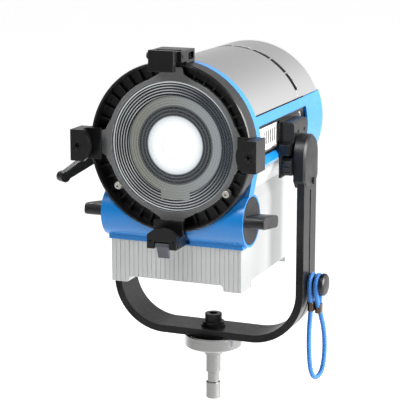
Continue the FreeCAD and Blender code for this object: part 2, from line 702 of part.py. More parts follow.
def pulley(y, start="belt_x - 5.5"):
    """Flanged belt pulley about X: two flanges and a hub the belt wraps."""
    hub = rod("x", "pulley_radius - 0.9", start, "11", (y, "focus_z"))
    flanges = [rod("x", "pulley_radius + 2", place, "1", (y, "focus_z"))
               for place in (start, "belt_x + 4.5")]
    return join(hub, *flanges)


def focus_shaft():
    return join(rod("x", "4", "-focus_half + 0.6", "2 * focus_half - 1.2", SHAFT), pulley("focus_y"))


def focus_knob():
    """Right-hand knob: a disc flush in the cylinder's end and a flat paddle standing out of it."""
    disc = rod("x", "focus_barrel - 2.4", "focus_half - 2", "2.4", SHAFT)
    hub = rod("x", "5", "focus_half - 8", "6.5", SHAFT)
    paddle = prism("x", [
        ("-20", "-5", ), ("-17", "-6"), ("17", "-6"), ("20", "-5"), ("21.5", "-2.5"), ("21.5", "2.5"),
        ("20", "5"), ("17", "6"), ("-17", "6"), ("-20", "5"), ("-21.5", "2.5"), ("-21.5", "-2.5")],
        "focus_half + 0.4", "focus_half + 20.5")
    paddle.Placement = FreeCAD.Placement(FreeCAD.Vector(), FreeCAD.Rotation(FreeCAD.Vector(1, 0, 0), -8))
    move_to(paddle, ("0", "focus_y", "focus_z"))
    return take(join(disc, hub, paddle), rod("x", "4", "0", "focus_half - 0.6", SHAFT))


def idler_pulley():
    return take(pulley("idler_y"), rod("x", "2.55", "belt_x - 10", "25", ("idler_y", "focus_z")))


def focus_belt():
    """Endless belt round both pulleys."""
    def loop(radius, start, end):
        return prism("x", [
            ("focus_y", f"focus_z - ({radius})"), ("idler_y", f"focus_z - ({radius})", radius),
            (f"idler_y + {radius}", "focus_z", radius), ("idler_y", f"focus_z + {radius}"),
            ("focus_y", f"focus_z + {radius}", radius), (f"focus_y - ({radius})", "focus_z", radius)],
            start, end)
    outer = loop("(pulley_radius + 0.7)", "belt_x - 4", "belt_x + 4")
    inner = loop("(pulley_radius - 0.7)", "belt_x - 5", "belt_x + 5")
    return take(outer, inner)


def guide_rod(side):
    return rod("y", "3", "shell_front - 7.5", "165", (f"{side} * rod_x", "rod_z"))


def rod_support():
    """Cross bar that holds the rear ends of the guide rods, with an arm for the idler pulley's axle."""
    bar = box(("-58", "58"), ("66", "73"), ("rod_z - 9", "rod_z + 9"))
    arm = box(("belt_x - 9.5", "belt_x - 6"), ("idler_y - 8", "67"), ("focus_z - 8", "focus_z + 8"))
    axle = rod("x", "2.5", "belt_x - 8", "14", ("idler_y", "focus_z"))
    posts = [box((f"{x} - 5", f"{x} + 5"), ("66", "73"), ("base_floor + wall", "rod_z - 9"))
             for x in (-53, 53)]
    holes = [rod("y", "3", "60", "20", (f"{side} * rod_x", "rod_z")) for side in (-1, 1)]
    return take(join(bar, arm, axle, *posts), *holes)


def engine_carriage():
    """Slide on both guide rods, with an upright plate for the light engine and a clamp on the belt."""
    bed = box(("-44", "44"), ("-16", "16"), ("rod_z - 7", "rod_z + 7"))
    upright = box(("-32", "32"), ("-3", "1"), ("rod_z + 7", "lens_axis + 34"))
    clamp = box(("44", "belt_x + 4"), ("-8", "8"), ("focus_z + pulley_radius - 4", "focus_z + 19"))
    slot = box(("belt_x - 4.4", "belt_x + 5"), ("-9", "9"),
               ("focus_z + pulley_radius - 1", "focus_z + pulley_radius + 1"))
    bores = [rod("y", "3 + running", "-20", "40", (f"{side} * rod_x", "rod_z")) for side in (-1, 1)]
    return take(join(bed, upright, clamp), slot, *bores)


def led_board():
    """Round board with a seven by seven field of emitters."""
    board = rod("y", "30", "-5", "2", ("0", "lens_axis"))
    chips = [box((f"{4 * col} - 1.5", f"{4 * col} + 1.5"), ("-6", "-5"),
                 (f"lens_axis + {4 * line} - 1.5", f"lens_axis + {4 * line} + 1.5"))
             for col in range(-3, 4) for line in range(-3, 4)]
    return join(board, *chips)


def mixing_cone():
    """Reflector that widens from the board to the diffuser."""
    return turning("y", [("20.5", "-5"), ("23.5", "-5"), ("31", "-36"), ("29.2", "-36")], LENS)


def diffuser():
    """Shallow frosted dome on the cone's mouth."""
    return turning("y", [("0", "-41.5"), ("0", "-40"), ("17", "-38.6"), ("29", "-36"), ("30.5", "-36"),
                         ("30.5", "-37.2"), ("18", "-40.2")], LENS)


def heat_sink():
    """Base plate and eleven upright fins behind the light engine."""
    base = box(("-34", "34"), ("1", "7"), ("lens_axis - 34", "lens_axis + 34"))
    fins = [box((f"{6.5 * index} - 1", f"{6.5 * index} + 1"), ("7", "40"),
                ("lens_axis - 34", "lens_axis + 34")) for index in range(-5, 6)]
    return join(base, *fins)


FAN = ("0", "lens_axis + 2")


def fan_frame():
    """Square fan frame with a hub held by four arms."""
    shell = box(("-40", "40"), ("76", "96"), ("lens_axis - 38", "lens_axis + 42"))
    bore = rod("y", "37.5", "70", "30", FAN)
    hub = rod("y", "14", "93.5", "2.5", FAN)
    arms = [box(("-39", "39"), ("94", "96"), ("lens_axis", "lens_axis + 4")),
            box(("-2", "2"), ("94", "96"), ("lens_axis - 37", "lens_axis + 41"))]
    axle = rod("y", "1.9", "78", "16", FAN)
    return join(take(shell, bore), hub, axle, *arms)


def fan_rotor():
    """Hub with seven pitched blades."""
    hub = rod("y", "14", "78.5", "14.5", FAN)
    blades = []
    for index in range(7):
        blade = box(("12", "36.5"), ("80", "81.6"), ("-8", "8"))
        blade.Placement = FreeCAD.Placement()
        tilt = turned_about(move_to(blade, ("12", "85", "-7")), "x", 32, ("24", "86", "0"))
        blades.append(turned_about(tilt, "y", 360 * index / 7, ("0", "86", "0")))
    blades = move_to(join(*blades), ("0", "0", "lens_axis + 2"))
    return take(join(hub, blades), rod("y", "1.95", "70", "24", FAN))


def power_supply():
    """Vented metal box on the floor of the base."""
    case = box(("-60", "28"), ("-62", "58"), ("base_floor + wall", "base_floor + 42"))
    vents = [box((f"{x} - 1.5", f"{x} + 1.5"), ("-50", "46"), ("base_floor + 40", "base_floor + 44"))
             for x in range(-50, 22, 8)]
    return take(case, *vents)


# ---- slide carriage, yoke and stand spigot ----------------------------------------------------

PIVOT = ("0", "pivot_z")
KNOB = ("-21.4", "lens_axis - 29.5")
BRACKET_SCREWS = ("0", "20")


def pivot_bracket():
    """Block that runs on the slide, over an apron that holds the pivot shaft and the clamp's plate."""
    top = "lens_axis + 14"
    block = prism("y", [
        ("bracket_in", "lens_axis - 11"), ("bracket_out", "lens_axis - 11"),
        ("bracket_out", f"{top} - 4", "4"), ("bracket_out - 4", top), ("bracket_in", top)], "-13", "29")
    apron = box(("82.4", "bracket_out"), ("-11.6", "29"), ("lens_axis - 38", "lens_axis - 11"))
    foot = rounded_plate(("75", "bracket_in"), ("-18", "49"),
                         ("lens_axis + recess_low + 3.4", "lens_axis + recess_high - 3.4"), "4")
    arm = box(("82.4", "bracket_out"), ("-31", "-10"), ("lens_axis - 17", "lens_axis - 6"))
    knob_plate = box(("82.1", "84.4"), ("-31", "-11"), ("lens_axis - 40", "lens_axis - 15"))
    boss = rod("x", "12", "bracket_out", "cap_in - bracket_out - 0.3", PIVOT)
    bore = rod("x", "pivot_radius", "84", "20", PIVOT)
    knob_hole = rod("x", "2.6", "80", "10", KNOB)
    sinks = [rod("x", "3.2", "bracket_out - 3.4", "5", (y, "lens_axis + 3")) for y in BRACKET_SCREWS]
    sinks += [rod("x", "1.55", "bracket_out - 9", "8", (y, "lens_axis + 3")) for y in BRACKET_SCREWS]
    return take(join(block, apron, foot, arm, knob_plate, boss), bore, knob_hole, *sinks)


def bracket_screws():
    items = []
    for side in ("x", "-x"):
        sign = -1 if side == "x" else 1
        for y in BRACKET_SCREWS:
            place = f"{sign} * (bracket_out - 0.2)", y, "lens_axis + 3"
            items.append(screw(side, place, 3.1, 3.1, 1.5, 5, 1.6))
    return group(*items)


def lock_knob():
    """Flat knob with twelve lobes that clamps the slide."""
    y, z = KNOB
    disc = rod("x", "9.2", "84.7", "bracket_out - 83", KNOB)
    gaps = [rod("x", "1.4", "84", "12", (f"{y} + 9.8 * cos({turn} deg)", f"{z} + 9.8 * sin({turn} deg)"))
            for turn in range(0, 360, 30)]
    return join(take(disc, *gaps), rod("x", "2.5", "82.2", "3", KNOB))


def pivot_shaft():
    return rod("x", "pivot_radius", "84", "yoke_half - 84.6", PIVOT)


def yoke_bar():
    """Flat bar bent to a U with round ends at the pivots and a groove along its outer face."""
    def bend(outer, floor, radius, top):
        return [(f"-({outer})", top), (f"-({outer})", f"{floor} + {radius}", radius),
                (f"-({outer}) + {radius}", floor), (f"({outer}) - {radius}", floor, radius),
                (outer, f"{floor} + {radius}"), (outer, top)]
    top = "pivot_z"
    outside = bend("yoke_half", "yoke_floor", "yoke_bend", top)
    inside = bend("(yoke_half - yoke_plate)", "(yoke_floor + yoke_plate)", "(yoke_bend - yoke_plate)",
                  top + " + 5")
    half = "yoke_width / 2"
    bar = take(prism("y", outside, f"-({half})", half), prism("y", inside, f"-({half}) - 1", f"{half} + 1"))
    core = prism("y", bend("(yoke_half - 1.2)", "(yoke_floor + 1.2)", "(yoke_bend - 1.2)", top + " + 30"),
                 "-3", "3")
    groove = bend("(yoke_half + 5)", "(yoke_floor - 5)", "(yoke_bend + 5)", "cap_floor - 4")
    band = take(prism("y", groove, "-2", "2"), core)
    ends = [rod("x", half, f"{side} * yoke_half - {0 if side < 0 else 1} * yoke_plate", "yoke_plate", PIVOT)
            for side in (-1, 1)]
    bush_holes = [rod("x", "pivot_radius + 2", f"{side} * yoke_half - 20", "40", PIVOT) for side in (-1, 1)]
    bolt_hole = rod("z", "5.3", "yoke_floor - 5", "20", ("0", "0"))
    post_hole = rod("x", "3.1", "90", "30", ("0", "strap_z"))
    cap_holes = [rod("x", "2.1", f"{side} * yoke_half - 20", "40", ("6.5", "195")) for side in (-1, 1)]
    return take(join(bar, *ends), band, bolt_hole, post_hole, *bush_holes, *cap_holes)


def pivot_bushes():
    """Plain bush in each arm of the yoke."""
    return group(*[take(rod("x", "pivot_radius + 1.98", start, "yoke_plate", PIVOT),
                        rod("x", "pivot_radius + running", f"{start} - 2", "yoke_plate + 4", PIVOT))
                   for start in ("yoke_half - yoke_plate", "-yoke_half")])


def bevelled(body, axis, place, width):
    """The body with a bevel round its flat face at a place on an axis."""
    document.recompute()
    level = size(place)
    item = document.addObject("Part::Chamfer", fresh("bevel"))
    item.Base = body
    item.Edges = [(number, width, width) for number, edge in enumerate(body.Shape.Edges, start=1)
                  if all(abs(getattr(corner.Point, axis) - level) < 0.01 for corner in edge.Vertexes)]
    return item


def yoke_cap():
    """Moulded cap over the right end of the yoke."""
    radius = "cap_width / 2"
    outline = [("-16", "cap_floor"), ("16", "cap_floor"), (radius, "cap_floor + 8"),
               (radius, "pivot_z", radius), ("0", f"pivot_z + {radius}", radius),
               (f"-({radius})", "pivot_z"), (f"-({radius})", "cap_floor + 8")]
    body = bevelled(prism("x", outline, "cap_in", "cap_out"), "x", "cap_out", 2.2)
    half = "(yoke_width / 2 + 0.15)"
    bar_space = box(("yoke_half - yoke_plate - 0.1", "yoke_half + 0.1"), (f"-{half}", half),
                    ("cap_floor - 5", "pivot_z"))
    end_space = rod("x", half, "yoke_half - yoke_plate - 0.1", "yoke_plate + 0.2", PIVOT)
    bore = rod("x", "pivot_radius + 0.3", "cap_in - 5", "cap_out - cap_in + 4.2", PIVOT)
    screw_hole = rod("x", "2.1", "100", "10", ("6.5", "195"))
    return take(body, bar_space, end_space, bore, screw_hole)


def stand_spigot():
    """Turned disc under the yoke, a shoulder that rests on the stand, and a grooved 16 mm pin."""
    return turning("z", [
        ("0", "-50"), ("7", "-50"), ("8", "-49"), ("8", "-32"), ("6.5", "-31"), ("6.5", "-21"), ("8", "-20"),
        ("8", "0"), ("10", "0"), ("10", "9"), ("29", "9"), ("30.5", "10.5"), ("30.5", "yoke_floor - 1"),
        ("29.5", "yoke_floor"), ("5.1", "yoke_floor"), ("5.1", "3"), ("0", "3")])


def centre_bolt():
    """Tall fluted socket head on a round flange."""
    head = screw("-z", ("0", "0", "44.5"), 9, 9, 5, 29, 4.5)
    flutes = [rod("z", "0.5", "37", "10", (f"9.1 * cos({turn} deg)", f"9.1 * sin({turn} deg)"))
              for turn in range(0, 360, 12)]
    return join(take(head, *flutes), rod("z", "11.6", "33", "3", ("0", "0")))


def bolt_washer():
    return take(rod("z", "13", "yoke_floor + yoke_plate", "2", ("0", "0")),
                rod("z", "5.3", "20", "20", ("0", "0")))


def tilt_lever():
    """Clamp lever outside the left arm: a round hub, and a tapered handle with a thicker tip."""
    hub = rod("x", "12", "-119", "11.8", PIVOT)
    crown = rod("x", "9", "-121.5", "3", PIVOT)
    grip = prism("x", [("0", "-8"), ("0", "8"), ("-70", "4.2"), ("-70", "-4.2")], "-4.4", "4.4")
    handle = join(grip, rod("x", "5.6", "-5", "10", ("-71", "0")))
    outwards = FreeCAD.Rotation(FreeCAD.Vector(0, 0, 1), -31)
    upwards = FreeCAD.Rotation(FreeCAD.Vector(1, 0, 0), 25)
    handle.Placement = FreeCAD.Placement(FreeCAD.Vector(), outwards.multiply(upwards))
    move_to(handle, ("-114.5", "0", "pivot_z"))
    stud = rod("x", "5", "-107.5", "1.9", PIVOT)
    return join(hub, crown, handle, stud)


# ---- wrist strap ------------------------------------------------------------------------------

def strap_post():
    """Spool on the right arm that the strap's eyes hang on, with a button on its end."""
    button = turning("x", [
        ("0", "yoke_half + 14.5"), ("11.6", "yoke_half + 14.5"), ("11.6", "yoke_half + 17.5"),
        ("10", "yoke_half + 19"), ("0", "yoke_half + 19.5")], ("0", "0", "strap_z"))
    return join(rod("x", "3", "98", "9", ("0", "strap_z")),
                rod("x", "post_radius", "yoke_half", "14.5", ("0", "strap_z")), button)


# The cord's route: an eye round the post, the hanging loop, and a second eye outside the first.
# Y and Z are from the post's centre.
STRAP_ROUTE = [
    (109.6, 0.6, -28), (109.6, 0.6, -18.5), (109.6, 9.4, -5.4), (109.6, 9.4, 5.4), (109.6, 0, 10.85),
    (109.6, -9.4, 5.4), (109.6, -9.4, -5.4), (109.6, -4.6, -18.5), (109.8, -4.8, -30),
    (109.5, -9, -50), (110.5, -10.5, -76), (112, -7, -96), (115, 1.5, -103), (118.5, 10.5, -97),
    (120, 14.5, -78), (119.5, 12.5, -52), (116.6, 5.4, -31),
    (116.4, 4.6, -21.5), (116.4, 9.4, -5.4), (116.4, 9.4, 5.4), (116.4, 0, 10.85),
    (116.4, -9.4, 5.4), (116.4, -9.4, -5.4), (116.4, -0.6, -21.5), (116.4, -0.6, -30.5)]


def rounded_path(corners):
    """Straight runs joined by tangent arcs, each as large as its two runs allow; and the arcs' radii."""
    edges, radii = [], []
    start = corners[0]
    for before, corner, after in zip(corners, corners[1:], corners[2:]):
        back, ahead = before - corner, after - corner
        trim = 0.45 * min(back.Length, ahead.Length)
        half_turn = (math.pi - back.getAngle(ahead)) / 2
        radii.append(trim / math.tan(half_turn))
        back.normalize()
        ahead.normalize()
        first, last = corner + back * trim, corner + ahead * trim
        inwards = back + ahead
        inwards.normalize()
        middle = corner + inwards * (trim * (1 / math.sin(half_turn) - 1 / math.tan(half_turn)))
        edges += [Part.LineSegment(start, first).toShape(), Part.Arc(first, middle, last).toShape()]
        start = last
    edges.append(Part.LineSegment(start, corners[-1]).toShape())
    return Part.Wire(edges), radii


def strap_cord():
    corners = [FreeCAD.Vector(x, y, z + size("strap_z")) for x, y, z in STRAP_ROUTE]
    wire, radii = rounded_path(corners)
    route = document.addObject("Part::Feature", "strap_route")
    route.Shape = wire
    section = document.addObject("Part::Circle", "strap_section")
    bind(section, "Radius", "cord_radius")
    along = corners[1] - corners[0]
    turn = FreeCAD.Rotation(FreeCAD.Vector(0, 0, 1), along)
    section.Placement = FreeCAD.Placement(corners[0], turn)
    cord = document.addObject("Part::Sweep", fresh("sweep"))
    cord.Sections = [section]
    cord.Spine = (route, [f"Edge{number}" for number in range(1, len(wire.Edges) + 1)])
    cord.Solid = True
    document.recompute()
    print("strap arcs, radius in mm:", [round(radius, 1) for radius in radii])
    ideal = math.pi * size("cord_radius") ** 2 * wire.Length
    print(f"strap length {wire.Length:.1f} mm, volume {cord.Shape.Volume:.0f} of {ideal:.0f} mm3")
    return cord


def strap_ferrule(x, y, z):
    """Oval crimp sleeve round both strands of an eye."""
    return join(rod("z", "3.3", z, "10", (x, f"{y} - 2.4")),
                rod("z", "3.3", z, "10", (x, f"{y} + 2.4")),
                box((f"{x} - 3.3", f"{x} + 3.3"), (f"{y} - 2.4", f"{y} + 2.4"), (z, f"{z} + 10")))


# ---- every kept piece, by its node's name ------------------------------------------------------

def retainer_screws():
    items = []
    for degrees in SCREW_TURNS:
        x, z = polar(SCREW_CIRCLE, degrees)
        items.append(screw("y", (x, "lens_face - 5.5", z), 3.6, 3, 1.5, 4, 1.8))
    return group(*items)


def accessory_screws():
    """A long screw in each side bracket and two small ones in the bottom bracket."""
    items = []
    for side in (1, -1):
        place = f"{side} * (ring_outer + 5)", "lip_front + 0.2", "lens_axis"
        items.append(screw("y", place, 4.25, 5, 2.5, 26, 2.3))
    for x in ("-12", "12"):
        place = x, "lip_front + 0.5", "lens_axis - ring_outer - 5"
        items.append(screw("y", place, 1.65, 2, 1.5, 20, 0.9))
    return group(*items)


def yoke_screws():
    """Button-head screw in each yoke cap, and the tall centre bolt."""
    items = [centre_bolt()]
    for side, axis in ((1, "-x"), (-1, "x")):
        items.append(screw(axis, (f"{side} * (cap_out + 1.5)", "6.5", "195"), 3.5, 1.5, 2, 7, 1.2))
    return group(*items)


keep("accessory_ring", accessory_ring())
keep("lens_retainer", lens_retainer())
keep("fresnel_lens", fresnel_lens())
keep("retainer_screws", retainer_screws())
keep("accessory_screws", accessory_screws())
keep("accessory_bracket_right", accessory_bracket(0))
keep("accessory_bracket_left", accessory_bracket(180))
keep("accessory_bracket_bottom", accessory_bracket(-90, notched=True))
keep("latch_base", latch_base())
keep("top_latch", top_latch())
keep("lock_tab", lock_tab())
keep("hinge_pins", group(latch_pin(), rod("x", "1.5", "-11", "22", TAB_PIN)))

keep("front_casting", front_casting())
keep("top_cover", arch("skin_radius", "skin", "shell_front", "slit_front"))
keep("rear_top_cover", rear_top_cover())
keep("vent_baffle", vent_baffle())
frame_right, rail_right, plate_right = side_frame(), side_rail(), side_plate()
keep("side_frames", group(frame_right, mirrored(frame_right)))
keep("side_rails", group(rail_right, mirrored(rail_right)))
keep("side_plates", group(plate_right, mirrored(plate_right)))
keep("lower_housing", lower_housing())
keep("rear_panel", rear_panel())
keep("power_inlet", socket_shell(*SOCKETS[0], pins=3))
keep("data_sockets", group(*[socket_shell(*socket, pins=5) for socket in SOCKETS[1:]]))
keep("rear_cover", rear_cover())
keep("control_panel", control_panel())
keep("display_window", display_window())
keep("encoder_left", encoder(ENCODERS[0]))
keep("encoder_right", encoder(ENCODERS[1]))
for number, place in enumerate(BUTTONS, start=1):
    keep(f"button_{number}", push_button(place))

keep("focus_shaft", focus_shaft())
knob_right = focus_knob()
keep("focus_knobs", group(knob_right, mirrored(knob_right)))
keep("idler_pulley", idler_pulley())
keep("focus_belt", focus_belt())
keep("guide_rods", group(guide_rod(1), guide_rod(-1)))
keep("rod_support", rod_support())
keep("engine_carriage", engine_carriage())
keep("led_board", led_board())
keep("mixing_cone", mixing_cone())
keep("diffuser", diffuser())
keep("heat_sink", heat_sink())
keep("fan_frame", fan_frame())
keep("fan_rotor", fan_rotor())
keep("power_supply", power_supply())

bracket_right = pivot_bracket()
keep("pivot_bracket_right", bracket_right)
keep("pivot_bracket_left", mirrored(bracket_right))
shaft_right = pivot_shaft()
keep("pivot_shafts", group(shaft_right, mirrored(shaft_right)))
keep("bracket_screws", bracket_screws())
keep("slide_lock_knob", lock_knob())

keep("yoke_bar", yoke_bar())
keep("pivot_bushes", pivot_bushes())
cap_right = yoke_cap()
stud_hole = rod("x", "5.3", "-cap_out - 1", "5", PIVOT)
keep("yoke_caps", group(cap_right, take(mirrored(cap_right), stud_hole)))
keep("yoke_screws", yoke_screws())
keep("bolt_washer", bolt_washer())
keep("stand_spigot", stand_spigot())
keep("tilt_lever", tilt_lever())
keep("strap_post", strap_post())
keep("strap_cord", strap_cord())
keep("strap_ferrules", group(strap_ferrule("109.7", "-2.05", "strap_z - 28.5"),
                             strap_ferrule("116.45", "2.05", "strap_z - 31")))

document.recompute()
faults = [item.Name for item in document.Objects if {"Invalid", "Error"} & set(item.State)]
for label, item in pieces.items():
    shape = item.Shape
    if shape.isNull() or not shape.isValid() or not shape.Solids:
        faults.append(label)
if faults:
    raise SystemExit("failed: " + ", ".join(faults))

os.makedirs("parts", exist_ok=True)
for label, item in pieces.items():
    item.Shape.exportStep(f"parts/{label}.step")
    span = item.Shape.BoundBox
    print(f"{label:26s}{len(item.Shape.Solids):3d} solids  x {span.XMin:7.1f} {span.XMax:7.1f}"
          f"  y {span.YMin:7.1f} {span.YMax:7.1f}  z {span.ZMin:7.1f} {span.ZMax:7.1f}")
print(len(pieces), "pieces")
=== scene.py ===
import json
import math

import bmesh
import bpy
from mathutils import Matrix, Vector


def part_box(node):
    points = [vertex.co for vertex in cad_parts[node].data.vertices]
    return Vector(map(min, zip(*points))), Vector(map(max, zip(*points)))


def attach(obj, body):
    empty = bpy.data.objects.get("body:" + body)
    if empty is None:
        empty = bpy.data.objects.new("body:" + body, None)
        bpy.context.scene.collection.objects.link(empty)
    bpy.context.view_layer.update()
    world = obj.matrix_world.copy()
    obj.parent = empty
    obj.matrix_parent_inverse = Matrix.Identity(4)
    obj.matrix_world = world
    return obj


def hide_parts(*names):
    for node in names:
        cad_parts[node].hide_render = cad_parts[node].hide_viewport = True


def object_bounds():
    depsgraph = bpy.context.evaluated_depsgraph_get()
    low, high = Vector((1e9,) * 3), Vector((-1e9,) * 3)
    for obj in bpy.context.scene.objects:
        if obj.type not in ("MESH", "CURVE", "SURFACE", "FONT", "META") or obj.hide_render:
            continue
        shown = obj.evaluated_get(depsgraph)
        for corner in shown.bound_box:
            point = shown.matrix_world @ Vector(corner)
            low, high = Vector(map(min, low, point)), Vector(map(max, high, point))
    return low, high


# A studio fresnel spotlight. Metres, +Z up, the light leaves along -Y.

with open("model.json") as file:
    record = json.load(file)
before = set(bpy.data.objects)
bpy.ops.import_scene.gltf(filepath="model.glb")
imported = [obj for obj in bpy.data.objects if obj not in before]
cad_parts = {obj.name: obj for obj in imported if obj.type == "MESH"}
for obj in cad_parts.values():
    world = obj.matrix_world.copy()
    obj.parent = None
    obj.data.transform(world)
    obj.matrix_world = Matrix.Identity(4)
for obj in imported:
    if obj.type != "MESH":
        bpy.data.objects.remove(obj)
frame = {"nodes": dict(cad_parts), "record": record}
cad_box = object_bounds()
scene = bpy.context.scene
MM = 0.001


def middle(node):
    low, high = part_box(node)
    return (low + high) / 2


# ---- places that the pieces share, all from the frame --------------------------------------------

LENS = middle("fresnel_lens")
LENS_LOW, LENS_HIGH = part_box("fresnel_lens")
LENS_FRONT = LENS_LOW.y
LENS_BACK = LENS_HIGH.y
LENS_RADIUS = (LENS_HIGH.x - LENS_LOW.x) / 2
POST = middle("strap_post")
PLATES = middle("side_plates")
PLATE_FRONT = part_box("side_plates")[0].y
BOARD_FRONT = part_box("led_board")[0].y


# ---- camera --------------------------------------------------------------------------------------

CAMERA_SPOT = (0.5604, -1.4440, 0.5027)
CAMERA_TARGET = (0.0041, -0.0491, 0.1777)
FOCAL_LENGTH = 135.9
FARTHEST = 60


def aim(item, target):
    item.rotation_euler = (Vector(target) - item.location).to_track_quat("-Z", "Y").to_euler()


def add_camera():
    data = bpy.data.cameras.new("camera")
    data.lens = FOCAL_LENGTH
    data.clip_end = FARTHEST
    camera = bpy.data.objects.new("camera", data)
    scene.collection.objects.link(camera)
    camera.location = CAMERA_SPOT
    aim(camera, CAMERA_TARGET)
    scene.camera = camera


add_camera()


# ---- helpers for materials -----------------------------------------------------------------------

BEVEL_SAMPLES = 6
EDGE_TURN = 0.06  # how far a normal turns on what counts as an edge, as 1 - cosine
EVEN = (0.3, 0.7)  # the range in which noise mostly lies
COARSE = (0.35, 0.7)


class Finish:
    """A Principled material with short calls for the nodes that the finishes share."""

    def __init__(self, name, **sockets):
        self.material = bpy.data.materials.new(name)
        self.material.use_nodes = True
        self.nodes = self.material.node_tree.nodes
        self.shader = self.nodes["Principled BSDF"]
        for socket, value in sockets.items():
            self.shader.inputs[socket.replace("_", " ")].default_value = value
        self.spot = self.nodes.new("ShaderNodeTexCoord").outputs["Object"]

    def link(self, source, target):
        self.material.node_tree.links.new(source, target)

    def node(self, kind, inputs=(), **settings):
        node = self.nodes.new("ShaderNode" + kind)
        for setting, value in settings.items():
            setattr(node, setting, value)
        for key, value in dict(inputs).items():
            if isinstance(value, bpy.types.NodeSocket):
                self.link(value, node.inputs[key])
            else:
                node.inputs[key].default_value = value
        return node

    def axis(self, name, vector=None):
        """One coordinate of a vector, or of the object coordinates if none is given."""
        return self.node("SeparateXYZ", {0: self.spot if vector is None else vector}).outputs[name]

    def noise(self, scale, detail=3.0, stretch=(1, 1, 1)):
        """Noise in object coordinates, which stretch scales per axis."""
        spot = self.node("Mapping", {"Vector": self.spot, "Scale": stretch}).outputs["Vector"]
        return self.node("TexNoise", {"Vector": spot, "Scale": scale, "Detail": detail}).outputs["Fac"]

    def cells(self, scale):
        return self.node("TexVoronoi", {"Vector": self.spot, "Scale": scale}).outputs["Distance"]

    def shape(self, value, low, high, to_low=0.0, to_high=1.0):
        """Value moved from one range to another, clamped."""
        node = self.node("MapRange", {"Value": value, "From Min": low, "From Max": high, "To Min": to_low,
                                      "To Max": to_high})
        return node.outputs["Result"]

    def math(self, operation, first, second=0.0):
        return self.node("Math", {0: first, 1: second}, operation=operation).outputs["Value"]

    def product(self, first, second):
        return self.math("MULTIPLY", first, second)

    def blend(self, factor, first, second, mode="MIX"):
        node = self.node("Mix", data_type="RGBA", blend_type=mode)
        for index, value in ((0, factor), (6, first), (7, second)):
            if isinstance(value, bpy.types.NodeSocket):
                self.link(value, node.inputs[index])
            else:
                node.inputs[index].default_value = value
        return node.outputs[2]

    def rounded(self, radius):
        """The surface's normal, turned along edges as if they had a radius in millimetres."""
        return self.node("Bevel", {"Radius": radius * MM}, samples=BEVEL_SAMPLES).outputs["Normal"]

    def edges(self, radius=0.5):
        """1 along convex and concave edges, 0 on flat and gently curved faces."""
        flat = self.node("NewGeometry").outputs["Normal"]
        dot = self.node("VectorMath", {0: self.rounded(radius), 1: flat}, operation="DOT_PRODUCT")
        return self.shape(dot.outputs["Value"], 1.0, 1.0 - EDGE_TURN)

    def colour(self, value):
        self.link(value, self.shader.inputs["Base Color"])

    def roughness(self, value):
        self.link(value, self.shader.inputs["Roughness"])

    def relief(self, height, distance, strength=1.0, radius=0.0):
        """Bump from a height, its distance in millimetres; with a radius, edges are rounded too."""
        inputs = {"Height": height, "Distance": distance * MM, "Strength": strength}
        if radius:
            inputs["Normal"] = self.rounded(radius)
        self.link(self.node("Bump", inputs).outputs["Normal"], self.shader.inputs["Normal"])


def rgb(red, green, blue):
    return (red, green, blue, 1.0)


def shade(base, factor, lift=0.0):
    return rgb(*[min(1.0, factor * part + lift) for part in base])


def painted(name, base, edge_wear_and_highlight_colour, roughness, peel=0.012, grain=1400, metallic=0.0, edge_wear_and_highlight_amount=0.5, coat=0.0,
            glare=0.5, drift=0.88, patches=0.14):
    """Paint with a fine peel and a slow change of tone, its edges turned to a lighter colour, partly as
    rubbed wear and partly as a painted highlight.

    Drift is the shade of the darker tone, patches how far the roughness varies; the edge colour and its
    amount set the edges' rubbed wear and painted highlight.
    """
    finish = Finish(name, Metallic=metallic, Coat_Weight=coat, Coat_Roughness=0.25, Specular_IOR_Level=glare)
    slow = finish.noise(14, 3)
    fine = finish.noise(grain, 2)
    tone = finish.blend(finish.shape(slow, *EVEN), shade(base, drift), rgb(*base))
    speckled = finish.blend(finish.shape(fine, 0.35, 0.75, 0, 0.35), tone, shade(base, 1.25))
    patchy = finish.shape(finish.noise(120, 4), 0.42, 0.62)
    # edges turned lighter: partly rubbed wear, partly a painted highlight
    edge_wear_and_highlight_mask = finish.product(finish.edges(), finish.product(patchy, edge_wear_and_highlight_amount))
    finish.colour(finish.blend(edge_wear_and_highlight_mask, speckled, rgb(*edge_wear_and_highlight_colour)))
    finish.roughness(finish.shape(finish.noise(32, 5), *COARSE, roughness - 0.35 * patches,
                                  roughness + 0.65 * patches))
    finish.relief(fine, peel, 0.8, radius=0.45)
    return finish.material


def moulded(name, base, roughness, grain=1900, depth=0.03, glare=0.35):
    """Plastic with an etched grain, its edges a little lighter as a painted highlight."""
    finish = Finish(name, Specular_IOR_Level=glare)
    cells = finish.cells(grain)
    slow = finish.shape(finish.noise(22, 3), *EVEN)
    tone = finish.blend(slow, shade(base, 0.8), rgb(*base))
    # painted highlight: the edges a little lighter
    painted_edge_highlight = finish.product(finish.edges(0.6), 0.45)
    finish.colour(finish.blend(painted_edge_highlight, tone, shade(base, 2.6, 0.01)))
    finish.roughness(finish.shape(finish.noise(60, 4), *EVEN, roughness - 0.06, roughness + 0.1))
    finish.relief(cells, depth, 0.7, radius=0.5)
    return finish.material


def machined(name, base, roughness, stretch, metallic=1.0):
    """Metal with tool marks: the noise is stretched along the marks."""
    finish = Finish(name, Metallic=metallic)
    marks = finish.noise(1.0, 4, stretch)
    stains = finish.shape(finish.noise(38, 5), 0.45, 0.75)
    tone = finish.blend(finish.shape(marks, *EVEN), shade(base, 0.72), rgb(*base))
    finish.colour(finish.blend(stains, tone, shade(base, 0.85)))
    finish.roughness(finish.shape(marks, *EVEN, roughness - 0.07, roughness + 0.08))
    finish.relief(marks, 0.006, 0.6, radius=0.3)
    return finish.material


